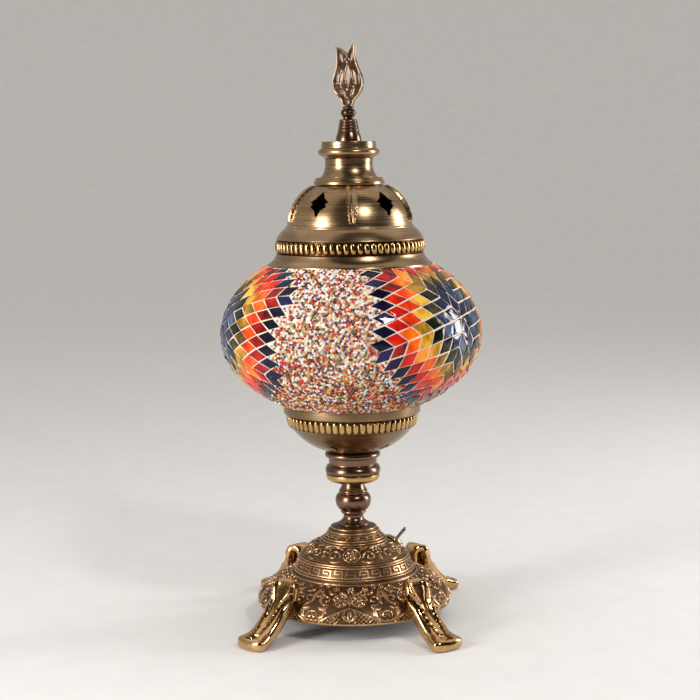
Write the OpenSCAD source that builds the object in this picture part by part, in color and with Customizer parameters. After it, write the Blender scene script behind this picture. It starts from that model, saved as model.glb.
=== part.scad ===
// Mosaic glass table lamp: cast footed base with a toggle switch, turned stem,
// spun cup, blown globe with rhombus tiles in a seed-bead field, lift-off cap
// with an openwork tulip, and a screw-in bulb inside.
// Millimetres, +Z up, origin on the floor under the lamp's axis, front is -Y.

/* [Globe] */
// Largest outer radius over the mosaic
globe_r = 83; // [82:0.5:84]
// Height of the widest ring above the floor
globe_z = 185.5; // [185:0.5:186]
// Half height of the upper half, measured to its virtual pole
globe_up = 57.5; // [57:0.5:58]
// Half height of the lower half, measured to its virtual pole
globe_down = 52; // [51.5:0.5:52.5]
// Thickness of the bead and tile layer
mosaic_t = 1.8; // [1.6:0.1:2]
// Thickness of the blown glass
glass_t = 2.4; // [2:0.1:2.8]

/* [Mosaic medallions] */
// Number of medallions around the globe
medallions = 3; // [2:1:3]
// Number of diamond sectors in a medallion
sectors = 6; // [6:1:7]
// Number of tile rings from the centre outwards
tile_rings = 7; // [4:1:7]
// Side of one rhombus with its joint
tile_pitch = 9.6; // [8:0.1:10]
// Width of the joint between tiles
tile_joint = 0.9; // [0.8:0.1:2]
// Thickness of a tile
tile_t = 1.5; // [1:0.1:1.8]

/* [Cup under the globe] */
// Outer radius of the plain band that carries the glass
band_r = 43.9; // [43.5:0.1:44.5]
// Top of the plain band
band_top = 142.3; // [142:0.1:142.6]
// Teeth of the gadroon strip around the cup
cup_teeth = 60; // [40:2:72]

/* [Lift-off cap] */
// Radius of the flared skirt that sits on the glass
skirt_r = 52; // [51:0.5:52.5]
// Height of the skirt's lower edge
skirt_z = 230; // [229.8:0.1:230.5]
// Beads of the gadroon strip around the cap
cap_beads = 68; // [48:2:80]
// Pierced stars in the dome, with a raised rib between each two
dome_stars = 5; // [3:1:6]
// Height of the lamp to the tip of the tulip
lamp_h = 368; // [366:1:370]
// Thickness of the tulip casting
tulip_t = 3.2; // [2.5:0.1:4]

/* [Base and legs] */
// Largest radius of the cast base
base_r = 61.7; // [61:0.1:62.5]
// Wall of the cast base
base_wall = 2.4; // [2:0.1:2.8]
// Radius that the toes reach
toe_r = 101; // [98:1:104]
// Width of a leg
leg_w = 15; // [12:0.5:16]
// Bearing of each leg from the front or the back, in degrees
leg_spread = 40; // [38:1:45]

/* [Switch] */
// Bearing of the switch, in degrees from the front towards +X
switch_az = 109; // [100:1:115]
// Radius at which the switch axis meets the base
switch_r = 27; // [26.5:0.1:27.5]
// Full swing of the toggle
switch_throw = 25; // [20:1:25]

/* [Hidden] */

$fn = 96;

// Colours
antique = "#8a6a3c";
gold = "#c79a45";
bronze = "#5b4636";
patina = "#8d7350";
dark = "#3b2c20";
steel = "#b8b8b8";
white_glass = "#f2ece0";

// Threaded tube (M10 x 1) and its clearance in every turned piece
tube_r = 5;
tube_bore = 3.6;
tube_hole = 5.1;
tube_low = 7.2;
tube_high = 124;

// Levels up the lamp
floor_lip = 11.7;
base_top = 61.8;
stem_top = 89.5;
lip_top = 95.2;
neck_top = 108;
cup_floor = 110.6;
cup_teeth_low = 126.4;
cup_teeth_high = 135;
cap_teeth_low = 237.4;
cap_teeth_high = 246.3;
dome_low = 254.3;
dome_high = 280.3;
flange_top = 284.8;
neck_high = 296.6;
collar_top = 307.2;
cone_top = 321;
bead_top = 329;

// Walls and openings
spun_wall = 1.2;
glass_top_r = 41;
glass_top_z = 236.5;
glass_low_r = 38.5;
glass_low_z = cup_teeth_high + 1.95;
gap = 0.05;

// Legs
leg_bearings = [-leg_spread, leg_spread, leg_spread - 180, 180 - leg_spread];
leg_thick = 5;
leg_taper = 0.9;
leg_screw_z = 16;
sole_r = 88;

// Bulb and lampholder (E14)
bulb_r = 22.5;
bulb_z = 190;
bulb_cap_r = 6.9;
bulb_seat = 147;
holder_r = 13.8;

// ---------- helpers ----------

// Point at a bearing from the front (-Y) towards +X
function bearing_xy(r, az) = [r * sin(az), -r * cos(az)];
function unit(v) = v / norm(v);
function bezier(a, b, c, d, n = 10, skip = 0) = [for (i = [skip:n])
    let(t = i / n, s = 1 - t) s * s * s * a + 3 * s * s * t * b + 3 * s * t * t * c + t * t * t * d];
function arc(c, r, a0, a1, n = 8) = [for (i = [0:n])
    let(a = a0 + (a1 - a0) * i / n) c + r * [cos(a), sin(a)]];
function across(p, i) = let(d = unit(p[min(i + 1, len(p) - 1)] - p[max(i - 1, 0)])) [-d.y, d.x];
function moved(p, t) = [for (i = [0:len(p) - 1]) p[i] + t * across(p, i)];
function reversed(p) = [for (i = [len(p) - 1:-1:0]) p[i]];
// Closed outline of a wall whose outer line runs upwards on the right
function wall(p, t) = concat(p, reversed(moved(p, t)));

module turned(outline) {
    rotate_extrude() polygon(outline);
}

module washer(r, hole, z, h) {
    translate([0, 0, z]) difference() {
        cylinder(r = r, h = h);
        translate([0, 0, -1]) cylinder(r = hole, h = h + 2);
    }
}

module hex_nut(across_flats, hole, z, h) {
    translate([0, 0, z]) difference() {
        cylinder(d = across_flats / cos(30), h = h, $fn = 6);
        translate([0, 0, -1]) cylinder(r = hole, h = h + 2);
    }
}

// Straight round rod between two points
module rod(a, b, r) {
    d = b - a;
    translate(a) rotate([0, acos(d.z / norm(d)), atan2(d.y, d.x)]) cylinder(r = r, h = norm(d), $fn = 24);
}

module at_bearing(az) {
    rotate([0, 0, az - 90]) children();
}

// Strip of upright teeth around a ring, as one scalloped outline
module tooth_ring(r, depth, teeth, low, high, inner) {
    steps = 6;
    outline = [for (k = [0:teeth * steps - 1])
        let(a = 360 * k / (teeth * steps), f = abs(sin(180 * (k % steps) / steps)))
        (r - depth * (1 - f)) * [cos(a), sin(a)]];
    translate([0, 0, low]) difference() {
        linear_extrude(high - low) polygon(outline);
        translate([0, 0, -1]) cylinder(r = inner, h = high - low + 2, $fn = 240);
    }
}

// Star with points up and down and a notched point on each side
module star(h, w) {
    polygon([[0, h / 2], [w * 0.24, h * 0.21], [w / 2, h * 0.06], [w * 0.34, 0], [w * 0.44, -h * 0.1],
        [w * 0.17, -h * 0.25], [0, -h / 2], [-w * 0.17, -h * 0.25], [-w * 0.44, -h * 0.1],
        [-w * 0.34, 0], [-w / 2, h * 0.06], [-w * 0.24, h * 0.21]]);
}

// ---------- base ----------

base_line = concat(
    [[base_r - 0.9, floor_lip], [base_r + 0.2, floor_lip + 1], [base_r, 16.5]],
    bezier([base_r, 16.5], [58, 23], [50, 28], [39.4, 31.6], 8, 1),
    [[39.3, 33.2], [38.2, 34.4], [35.8, 39.6], [35.9, 41.4], [34.2, 42.6]],
    bezier([34.2, 42.6], [31, 47], [26, 50.4], [21, 51.2], 6, 1),
    [[21, 52.6], [19.8, 53.4], [16.6, 57], [16.2, 58.2]],
    bezier([16.2, 58.2], [15.2, 60.4], [13, 61.4], [11, base_top], 4, 1),
    [[8, base_top]]);

switch_tilt = 31;
switch_z = 48.2;

// Places children at the switch with +Z along the axis of its bushing
module at_switch() {
    translate(concat(bearing_xy(switch_r, switch_az), switch_z))
        rotate([0, 0, switch_az - 90]) rotate([0, switch_tilt, 0]) children();
}

module base_shell() {
    color(patina) difference() {
        union() {
            turned(wall(base_line, base_wall));
            washer(10.5, tube_hole, base_top - 4, 4);
            for (az = leg_bearings) at_bearing(az)
                translate([base_r - 6.5, -4, floor_lip + 0.5]) cube([4.5, 8, 8]);
        }
        for (az = leg_bearings) at_bearing(az)
            translate([base_r - 12, 0, leg_screw_z]) rotate([0, 90, 0]) cylinder(r = 2.1, h = 20, $fn = 32);
        at_switch() translate([0, 0, -8]) cylinder(r = 3.1, h = 12, $fn = 48);
        at_bearing(180) translate([base_r - 8, 0, cord_z])
            rotate([0, 90, 0]) cylinder(r = 4.6, h = 16, $fn = 48);
    }
}

// Middle line of a leg in its own upright plane, from the scroll to the toe
leg_line = concat(
    bezier([60.5, 30.5], [66, 26], [72, 13], [84, 6.2], 10),
    bezier([84, 6.2], [89, 3.6], [94, 3.4], [toe_r - 3.6, 3.6], 6, 1));
function leg_half(i) = leg_thick - leg_taper * i / (len(leg_line) - 1);
leg_upper = [for (i = [0:len(leg_line) - 1]) leg_line[i] + leg_half(i) * across(leg_line, i)];
leg_lower = [for (i = [0:len(leg_line) - 1])
    let(p = leg_line[i] - leg_half(i) * across(leg_line, i)) [p.x, max(p.y, 0)]];

module leg_side(grow) {
    polygon(concat(moved(leg_upper, grow), reversed(moved(leg_lower, -min(grow, 0)))));
    translate([60.5, 30.5]) circle(r = 6.2 + grow, $fn = 48);
    translate([toe_r - 3.8, 3.8]) circle(r = 3.8 + min(grow, 0), $fn = 48);
}

module leg(az) {
    rib = leg_w / 5;
    color(gold) at_bearing(az) difference() {
        union() {
            rotate([90, 0, 0]) translate([0, 0, -leg_w / 2 + rib / 2])
                linear_extrude(leg_w - rib) leg_side(-0.8);
            for (side = [-2, 0, 2]) rotate([90, 0, 0]) translate([0, 0, side * rib - rib / 2])
                linear_extrude(rib) leg_side(0);
            // strap that meets the flank of the base
            translate([base_r + 0.4, -3.5, leg_screw_z - 4.2]) cube([11, 7, 9]);
            // flat sole under the toe
            translate([sole_r, -leg_w / 2 + 1, 0]) cube([toe_r - 3.8 - sole_r, leg_w - 2, 2]);
        }
        translate([base_r, 0, leg_screw_z]) rotate([0, 90, 0]) cylinder(r = 1.95, h = 8, $fn = 32);
        // hollow of the scroll head, open towards the outside
        translate([72, 0, 40]) rotate([90, 0, 0]) cylinder(r = 7.5, h = leg_w - 4.5, center = true, $fn = 48);
    }
}

module leg_front_left() { leg(leg_bearings[0]); }
module leg_front_right() { leg(leg_bearings[1]); }
module leg_rear_left() { leg(leg_bearings[2]); }
module leg_rear_right() { leg(leg_bearings[3]); }

module leg_screws() {
    color(steel) for (az = leg_bearings) at_bearing(az)
        translate([base_r - 9.2, 0, leg_screw_z]) rotate([0, 90, 0]) {
            cylinder(r = 3.5, h = 2.6, $fn = 32);
            cylinder(r = 1.9, h = 16, $fn = 32);
        }
}

cover_z = floor_lip + 0.4;
module bottom_cover() {
    color(dark) washer(base_r - 9.6, tube_hole, cover_z, 1.5);
}

module bottom_washer() {
    color(steel) washer(10, tube_hole, cover_z - 1.2, 1.2);
}

module bottom_nut() {
    color(steel) hex_nut(14, tube_hole - 0.1, cover_z - 4.2, 3);
}

// Bush in the back wall that a flexible cord passes through
cord_z = 20.5;
cord_hole = 3.4;
module cord_bush() {
    color("#1d1b19") at_bearing(180) translate([base_r - 7.2, 0, cord_z]) rotate([0, 90, 0])
        difference() {
            union() {
                cylinder(r = 4.5, h = 9.4, $fn = 48);
                translate([0, 0, 7.6]) cylinder(r = 6, h = 1.8, $fn = 48);
            }
            translate([0, 0, -1]) cylinder(r = cord_hole, h = 12, $fn = 48);
        }
}

// ---------- switch ----------

bushing_r = 3;
lever_ball = 1.7;
lever_len = 10.5;
lever_drop = 2.6;
lever_pin_r = 0.6;
lever_pin_l = 4.8;

module switch_body() {
    color("#20201f") at_switch() difference() {
        union() {
            translate([-4, -6.5, -15]) cube([8, 13, 8.5]);
            translate([0, 0, -6.5]) cylinder(r = bushing_r, h = 9, $fn = 48);
            for (y = [-4.7, 0, 4.7]) translate([-1, y - 0.4, -18.5]) cube([2, 0.8, 4]);
        }
        translate([0, 0, -10]) cylinder(r = lever_ball + 0.08, h = 8.4, $fn = 48);
        translate([0, 0, -2]) cylinder(r1 = lever_ball + 0.08, r2 = 2.4, h = 4.6, $fn = 48);
        translate([0, lever_pin_l / 2 + 0.2, -lever_drop]) rotate([90, 0, 0])
            cylinder(r = lever_pin_r + 0.08, h = lever_pin_l + 0.4, $fn = 32);
    }
}

module switch_nut() {
    color(gold) at_switch() difference() {
        union() {
            translate([0, 0, 0.6]) cylinder(r1 = 6.3, r2 = 5.8, h = 1.4, $fn = 64);
            translate([0, 0, 1.6]) cylinder(r = 4.4, h = 0.9, $fn = 64);
        }
        cylinder(r = bushing_r + 0.02, h = 4, $fn = 48);
    }
}

// The toggle leans outwards at one end of its swing
module switch_lever() {
    color(steel) at_switch() translate([0, 0, -lever_drop]) rotate([0, switch_throw / 2, 0]) {
        sphere(r = lever_ball, $fn = 48);
        translate([0, lever_pin_l / 2, 0]) rotate([90, 0, 0])
            cylinder(r = lever_pin_r, h = lever_pin_l, $fn = 32);
        cylinder(r1 = 0.9, r2 = 1.15, h = lever_len + lever_drop, $fn = 32);
        translate([0, 0, lever_len + lever_drop]) sphere(r = 1.15, $fn = 32);
    }
}

module terminal_block() {
    color("#e8e4d8") translate([-9, 20, cover_z + 1.5]) difference() {
        cube([18, 9, 8]);
        for (x = [4.5, 13.5]) translate([x, -1, 4]) rotate([-90, 0, 0]) cylinder(r = 1.6, h = 11, $fn = 32);
    }
}

wire_r = 0.9;
module base_wires() {
    low = cover_z + 3.4;
    foot = concat(bearing_xy(switch_r - 14, switch_az), 28);
    color("#d8c37a") {
        rod([-4.5, 30, cover_z + 5.5], [-4.5, 48, cord_z], wire_r);
        rod([4.5, 30, cover_z + 5.5], [4.5, 48, cord_z], wire_r);
        rod([-4.5, 19, cover_z + 5.5], [-7.5, 2, low], wire_r);
        rod([4.5, 19, cover_z + 5.5], [14, 3, low], wire_r);
        rod([14, 3, low + 2.2], [foot.x + 2, foot.y, foot.z], wire_r);
    }
}

// ---------- stem ----------

module threaded_tube() {
    color(steel) washer(tube_r, tube_bore, tube_low, tube_high - tube_low);
}

module stem() {
    profile = concat(
        [[tube_hole, base_top + gap], [10.5, base_top + gap], [10.5, 62.6], [9.3, 63.2]],
        bezier([9.3, 63.2], [7.6, 64.4], [6.4, 65.6], [6.4, 67.3], 4, 1),
        [[6.6, 68.6], [8, 69.4], [8.2, 70.2], [7.9, 70.9], [8.9, 71.6]],
        bezier([8.9, 71.6], [12.2, 74.4], [12.4, 80.6], [9.4, 82.2], 8, 1),
        [[8.7, 82.6], [9.2, 83.4], [9.1, 84.2], [7.4, 87], [7, stem_top], [tube_hole, stem_top]]);
    color(bronze) turned(profile);
}

module lip_ring() {
    color(gold) turned(concat(
        [[tube_hole, stem_top + gap], [11, stem_top + gap]],
        bezier([11, stem_top + gap], [14.6, 89.9], [17.1, 91.4], [17.2, 93.2], 5, 1),
        [[17.2, lip_top], [tube_hole, lip_top]]));
}

module lower_neck() {
    color(bronze) turned(concat(
        [[tube_hole, lip_top + gap], [16.6, lip_top + gap]],
        bezier([16.6, lip_top + gap], [18.4, 96], [18.2, 99.6], [15.9, 101.2], 6, 1),
        [[15.4, 101.8], [15.6, 104.6], [16, 106.2]],
        arc([15.9, 107.8], 2, -60, 60, 5),
        [[15.4, neck_top + 2.5], [tube_hole, neck_top + 2.5]]));
}

// ---------- cup ----------

cup_line = concat(
    [[15.6, cup_floor]],
    bezier([15.6, cup_floor], [24, 112], [33, 117.6], [39.3, cup_teeth_low], 8, 1),
    [[40.3, cup_teeth_low + 0.5], [40.6, cup_teeth_high - 0.4], [band_r, cup_teeth_high + 0.4],
        [band_r, band_top - 0.6], [band_r - 0.5, band_top]]);
vent_stars = 5;
vent_az = -22.5;
vent_r = 27.5;

module cup_shell() {
    color(antique) difference() {
        union() {
            turned(wall(cup_line, spun_wall));
            washer(16.4, tube_hole, cup_floor, spun_wall);
        }
        for (k = [0:vent_stars - 1]) at_bearing(vent_az + k * 360 / vent_stars)
            translate([vent_r, 0, cup_floor - 2]) linear_extrude(12) rotate(90) star(8, 9.5);
    }
}

module cup_gadroon_ring() {
    color(gold) tooth_ring(42.7, 1.1, cup_teeth, cup_teeth_low + 0.8, cup_teeth_high - 0.6, 40.75);
}

// Soft ring between the glass and the cup
gasket_z = cup_teeth_high + 1;
gasket_t = 0.9;
module cup_gasket() {
    color("#2a2725") washer(42.6, 38.7, gasket_z, gasket_t);
}

module cup_locknut() {
    color(steel) hex_nut(14, tube_hole - 0.1, cup_floor + spun_wall, 3.2);
}

// ---------- globe ----------

// Outline of one skin of the globe, inset by t, from the lower to the upper opening
function skin(t, low_r, high_r, n = 28) =
    let(a0 = -acos(low_r / (globe_r - t)), a1 = acos(high_r / (globe_r - t)))
    [for (i = [0:n]) let(a = a0 + (a1 - a0) * i / n, b = (a > 0 ? globe_up : globe_down) - t)
        [(globe_r - t) * cos(a), globe_z + b * sin(a)]];

module glass_globe() {
    outer = skin(mosaic_t, glass_low_r + glass_t, glass_top_r);
    inner = skin(mosaic_t + glass_t, glass_low_r, glass_top_r - glass_t);
    color([0.93, 0.9, 0.84, 0.6]) turned(concat(
        [[glass_low_r, glass_low_z], [glass_low_r + glass_t, glass_low_z]], outer,
        [[glass_top_r, glass_top_z], [glass_top_r - glass_t, glass_top_z]], reversed(inner)));
}

bead_low_r = band_r + 0.5;
bead_high_r = skirt_r + 0.6;
module bead_bed() {
    color(white_glass) turned(concat(
        skin(0, bead_low_r, bead_high_r),
        reversed(skin(mosaic_t - 0.02, bead_low_r - 1.2, bead_high_r - 1.2))));
}

// One step of a straight path over the globe: state is [latitude parameter,
// bearing, heading from up towards +bearing], all in degrees
function slope(s) =
    let(b = s[0] > 0 ? globe_up : globe_down, g = sqrt(pow(globe_r * sin(s[0]), 2) + pow(b * cos(s[0]), 2)))
    [cos(s[2]) / g, sin(s[2]) / (globe_r * cos(s[0])), tan(s[0]) / g * sin(s[2])] * 180 / PI;
function walk(s, step, n) = n == 0 ? s :
    let(k = slope(s), m = slope(s + k * step / 2)) walk(s + m * step, step, n - 1);
function on_globe(t, az) = let(b = t > 0 ? globe_up : globe_down)
    concat(bearing_xy(globe_r * cos(t), az), globe_z + b * sin(t));
// Point of the globe that lies [x, y] from a medallion's centre, by straight walk
path_steps = 8;
function medallion_point(m, p) =
    let(t = asin(medallion_rise[m] / globe_up), az = medallion_az[m],
        e = walk([t, az, 90 - atan2(p.y, p.x)], norm(p) / path_steps, path_steps))
    norm(p) < 0.01 ? on_globe(t, az) : on_globe(e[0], e[1]);
// Each medallion's bearing, height above the widest ring, and turn about its centre
medallion_az = [60, -75, 172];
medallion_rise = [14.3, 8.8, 12];
medallion_turn = [159, 1, 12];

sector_a = 360 / sectors;
function ray(a) = [cos(a), sin(a)];
// Corners of tile (i, j) of sector k in the flat pattern, drawn in by half a joint
function tile_flat(m, k, i, j) =
    let(a = medallion_turn[m] + (k - 0.5) * sector_a, u = ray(a), v = ray(a + sector_a),
        d = tile_joint / 2 / sin(sector_a) / tile_pitch,
        c = [[i + d, j + d], [i + 1 - d, j + d], [i + 1 - d, j + 1 - d], [i + d, j + 1 - d]])
    [for (q = c) tile_pitch * (q.x * u + q.y * v)];
tile_low_z = band_top + 2.6;
tile_high_z = skirt_z - 2.2;
function visible(c) = min([for (q = c) q.z]) > tile_low_z && max([for (q = c) q.z]) < tile_high_z;

// Flat rhombus of glass through four corners, with its face just above them
module tile(c) {
    mid = (c[0] + c[1] + c[2] + c[3]) / 4;
    n = unit(cross(c[2] - c[0], c[3] - c[1]));
    out = n * mid > 0 ? n : -n;
    p = acos(out.z);
    q = atan2(out.y, out.x);
    ex = [cos(p) * cos(q), cos(p) * sin(q), -sin(p)];
    ey = [-sin(q), cos(q), 0];
    translate(mid) rotate([0, p, q]) translate([0, 0, 0.35 - tile_t])
        linear_extrude(tile_t) polygon([for (w = c) [(w - mid) * ex, (w - mid) * ey]]);
}

module tile_ring(ring) {
    for (m = [0:medallions - 1], k = [0:sectors - 1], i = [0:ring - 1]) {
        c = [for (q = tile_flat(m, k, i, ring - 1 - i)) medallion_point(m, q)];
        if (visible(c)) tile(c);
    }
}

module tiles_ring_1() { color("#1a2350") tile_ring(1); }
module tiles_ring_2() { color("#33466e") tile_ring(2); }
module tiles_ring_3() { color("#2b2a1c") tile_ring(3); }
module tiles_ring_4() { color("#c08a28") tile_ring(4); }
module tiles_ring_5() { color("#ea5a1c") tile_ring(5); }
module tiles_ring_6() { color("#c31d18") tile_ring(6); }
module tiles_ring_7() { color("#16143c") tile_ring(7); }

// ---------- lampholder and bulb ----------

holder_low = tube_high - 6;
module holder_base() {
    color("#17150f") difference() {
        translate([0, 0, holder_low]) cylinder(r1 = 9, r2 = holder_r, h = 8);
        translate([0, 0, holder_low - 1]) cylinder(r = tube_r + gap, h = 7);
        translate([0, 0, holder_low + 4]) cylinder(r = 4.2, h = 6);
    }
}

barrel_low = holder_low + 8;
barrel_high = bulb_seat + 3;
module holder_barrel() {
    color("#17150f") washer(holder_r, 11.2, barrel_low + gap, barrel_high - barrel_low);
}

core_low = barrel_low + 2;
module holder_core() {
    color("#efe9dc") difference() {
        translate([0, 0, core_low]) cylinder(r = 11.1, h = barrel_high - core_low - 1);
        translate([0, 0, core_low + 3]) cylinder(r = bulb_cap_r + 0.35, h = 30);
    }
}

module centre_contact() {
    color(gold) translate([-4.5, -1.5, core_low + 3]) cube([9, 3, 0.5]);
}

module holder_wires() {
    color("#d8c37a") for (x = [-1.4, 1.4])
        rod([x, 0, tube_low + 4], [x, 0, core_low - 0.2], wire_r);
}

thread_pitch = 2.8;
bulb_foot = core_low + 4.4;
module bulb_cap() {
    top = bulb_seat + 4;
    turns = floor((top - 3 - bulb_foot - 2) / thread_pitch);
    crest = [for (k = [0:turns * 6])
        [bulb_cap_r - 0.35 - 0.35 * cos(60 * k), bulb_foot + 3 + thread_pitch * k / 6]];
    color(steel) turned(concat([[5.2, bulb_foot + 2.2]], crest, [[bulb_cap_r, top], [bulb_cap_r - 1.2, top]],
        [[bulb_cap_r - 1.2, bulb_foot + 3.4], [5.2, bulb_foot + 3]]));
}

module bulb_insulator() {
    color("#15110f") translate([0, 0, bulb_foot + 0.6]) cylinder(r1 = 2.6, r2 = 5.1, h = 2.2);
}

module bulb_tip() {
    color(steel) translate([0, 0, bulb_foot - 0.8]) cylinder(r1 = 1.6, r2 = 2.4, h = 1.35);
}

// Golf-ball envelope
bulb_wall = 0.8;
bulb_line = concat(
    [[bulb_cap_r - 1.3, bulb_seat], [bulb_cap_r - 1.3, bulb_seat + 5]],
    bezier([bulb_cap_r - 1.3, bulb_seat + 5], [7, 158], [12, 166], [18.4, bulb_z - 12.95], 8, 1),
    arc([0, bulb_z], bulb_r, -30, 84, 12));
module bulb_glass() {
    color([1, 0.96, 0.88, 0.5]) turned(concat(bulb_line,
        [[0, bulb_z + bulb_r], [0, bulb_z + bulb_r - bulb_wall]], reversed(moved(bulb_line, bulb_wall))));
}

module bulb_stem() {
    color([0.9, 0.95, 1, 0.6]) translate([0, 0, bulb_seat - 1]) cylinder(r1 = 4, r2 = 1.6, h = 24);
}

module bulb_filament() {
    z0 = bulb_seat + 22.5;
    color("#d2c8b4") {
        for (s = [-1, 1]) rod([s * 0.9, 0, z0], [s * 8, 0, bulb_z + 4], 0.3);
        rod([-8, 0, bulb_z + 4], [0, 0, bulb_z + 7], 0.3);
        rod([8, 0, bulb_z + 4], [0, 0, bulb_z + 7], 0.3);
    }
}

// ---------- cap ----------

dome_rib_az = 5.5;
dome_star_az = 42.5;
dome_star_tilt = 58;
cap_line = concat(
    [[skirt_r, skirt_z], [skirt_r - 0.3, skirt_z + 1]],
    bezier([skirt_r - 0.3, skirt_z + 1], [49, 232.5], [47.6, 235], [46.9, cap_teeth_low], 4, 1),
    [[45.4, cap_teeth_low + 0.4], [45.4, cap_teeth_high - 0.4], [46.8, cap_teeth_high]],
    bezier([46.8, cap_teeth_high], [45.4, 249], [43, 252.4], [40.6, dome_low - 0.6], 4, 1),
    [[40.6, dome_low]],
    bezier([39.8, dome_low + 0.6], [38.6, 266], [33, 276.5], [22, dome_high - 0.4], 10),
    [[6, dome_high]]);

module cap_dome() {
    color(antique) difference() {
        union() {
            turned(wall(cap_line, spun_wall));
            washer(8, 2.1, dome_high - spun_wall - 0.2, spun_wall);
            for (k = [0:dome_stars - 1]) at_bearing(dome_rib_az + k * 360 / dome_stars)
                rotate([90, 0, 0]) translate([0, 0, -0.8]) linear_extrude(1.6)
                    polygon(concat(rib_line, reversed(moved(rib_line, 1.4))));
        }
        for (k = [0:dome_stars - 1]) at_bearing(dome_star_az + k * 360 / dome_stars)
            translate([34.6, 0, 268.8]) rotate([0, dome_star_tilt, 0]) rotate([0, 0, 90])
                translate([0, 0, -9]) linear_extrude(18) star(19, 13.4);
    }
}
rib_line = bezier([40, dome_low + 3.5], [39.1, 266.5], [33.8, 276.9], [24, dome_high - 0.8], 8);

module cap_gadroon_ring() {
    color(gold) tooth_ring(47.6, 1.3, cap_beads, cap_teeth_low + 0.7, cap_teeth_high - 0.7, 45.5);
}

// Three sprung tabs that hold the cap centred in the mouth of the glass
module cap_springs() {
    reach = glass_top_r - glass_t - 0.5;
    color(gold) for (az = [0, 120, 240]) at_bearing(az + 30) {
        translate([reach - 0.6, -4, 226]) cube([0.6, 8, 20]);
        translate([reach - 0.6, -4, 245.4]) cube([44.3 - reach, 8, 0.6]);
    }
}

module cap_flange() {
    color(antique) turned([[2.1, dome_high + gap], [22.4, dome_high + gap], [22.4, 282], [21.4, 283.8],
        [20.8, flange_top], [2.1, flange_top]]);
}

module cap_neck() {
    color(antique) turned(concat([[2.1, flange_top + gap], [18, flange_top + gap]],
        bezier([18, flange_top + gap], [16.2, 287.4], [15, 290], [15, 293.4], 6, 1),
        [[15.3, neck_high], [2.1, neck_high]]));
}

module cap_collar() {
    color(antique) turned(concat([[2.1, neck_high + gap], [15, neck_high + gap], [16.4, 297.6]],
        arc([17, 300.6], 2.4, -60, 60, 6),
        [[17.2, 303], [17, collar_top], [2.1, collar_top]]));
}

module finial_cone() {
    ribs = 4;
    color(bronze) turned(concat([[2.1, collar_top + gap], [8.3, collar_top + gap], [7.9, 310], [6.9, 313]],
        [for (k = [0:ribs - 1], e = [0, 1]) [6.5 - 0.35 * k + 0.6 * e, 313.6 + 1.9 * (k + e * 0.5)]],
        [[5, cone_top], [2.1, cone_top]]));
}

module finial_bead() {
    color(antique) turned(concat([[2.1, cone_top + gap], [3.4, cone_top + gap]],
        arc([1.8, 325], 2.9, -60, 60, 6), [[3.6, bead_top], [2.1, bead_top]]));
}

// Half outline of the tulip, from the foot up to the left tip
tulip_half = concat(
    bezier([3.6, bead_top + gap], [3.2, 331.5], [4.6, 333], [6.4, 335], 4),
    bezier([6.4, 335], [10.4, 339], [11, 345], [8.4, 350], 7, 1),
    bezier([8.4, 350], [5.9, 355], [5.4, 360], [6.2, lamp_h], 6, 1),
    bezier([6.2, lamp_h], [3.6, 366], [1.8, 363.6], [0, 361.6], 5, 1));

module tulip_finial() {
    mirrored = [for (p = reversed(tulip_half)) if (p.x > 0.01) [-p.x, p.y]];
    color(antique) rotate([0, 0, -12]) rotate([90, 0, 0]) translate([0, 0, -tulip_t / 2]) difference() {
        linear_extrude(tulip_t) difference() {
            polygon(concat(tulip_half, mirrored));
            // tear-drop slot up the middle and the two side openings
            polygon(concat(bezier([0, 341], [1.9, 343], [1.6, 349], [0, 353], 6),
                bezier([0, 353], [-1.6, 349], [-1.9, 343], [0, 341], 6, 1)));
            for (s = [-1, 1]) {
                polygon([[s * 3.3, 343], [s * 6.4, 344.5], [s * 4.6, 350.5], [s * 3.4, 351]]);
                polygon([[s * 1.6, 335.6], [s * 4.6, 337.6], [s * 2.4, 338.6]]);
            }
        }
    }
}

stud_r = 2;
module finial_stud() {
    color(steel) translate([0, 0, 270]) cylinder(r = stud_r, h = bead_top - 270, $fn = 48);
}

module finial_nut() {
    color(steel) hex_nut(7, stud_r + gap, dome_high - spun_wall * 2 - 3.5, 3.2);
}

base_shell();
leg_front_left();
leg_front_right();
leg_rear_left();
leg_rear_right();
leg_screws();
bottom_cover();
bottom_washer();
bottom_nut();
cord_bush();
switch_body();
switch_nut();
switch_lever();
terminal_block();
base_wires();
threaded_tube();
stem();
lip_ring();
lower_neck();
cup_shell();
cup_gadroon_ring();
cup_gasket();
cup_locknut();
glass_globe();
bead_bed();
tiles_ring_1();
tiles_ring_2();
tiles_ring_3();
tiles_ring_4();
tiles_ring_5();
tiles_ring_6();
tiles_ring_7();
holder_base();
holder_barrel();
holder_core();
centre_contact();
holder_wires();
bulb_cap();
bulb_insulator();
bulb_tip();
bulb_glass();
bulb_stem();
bulb_filament();
cap_dome();
cap_gadroon_ring();
cap_springs();
cap_flange();
cap_neck();
cap_collar();
finial_cone();
finial_bead();
tulip_finial();
finial_stud();
finial_nut();
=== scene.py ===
"""Looks of the mosaic glass table lamp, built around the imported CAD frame.

The frame is in metres, +Z up, with the front towards -Y. Outlines and pattern sizes are written in
millimetres and seated on the CAD nodes' own boxes. A bearing is in degrees from the front towards +X.
"""
import math

import bmesh
import bpy
import numpy as np
from mathutils import Matrix, Vector


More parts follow.
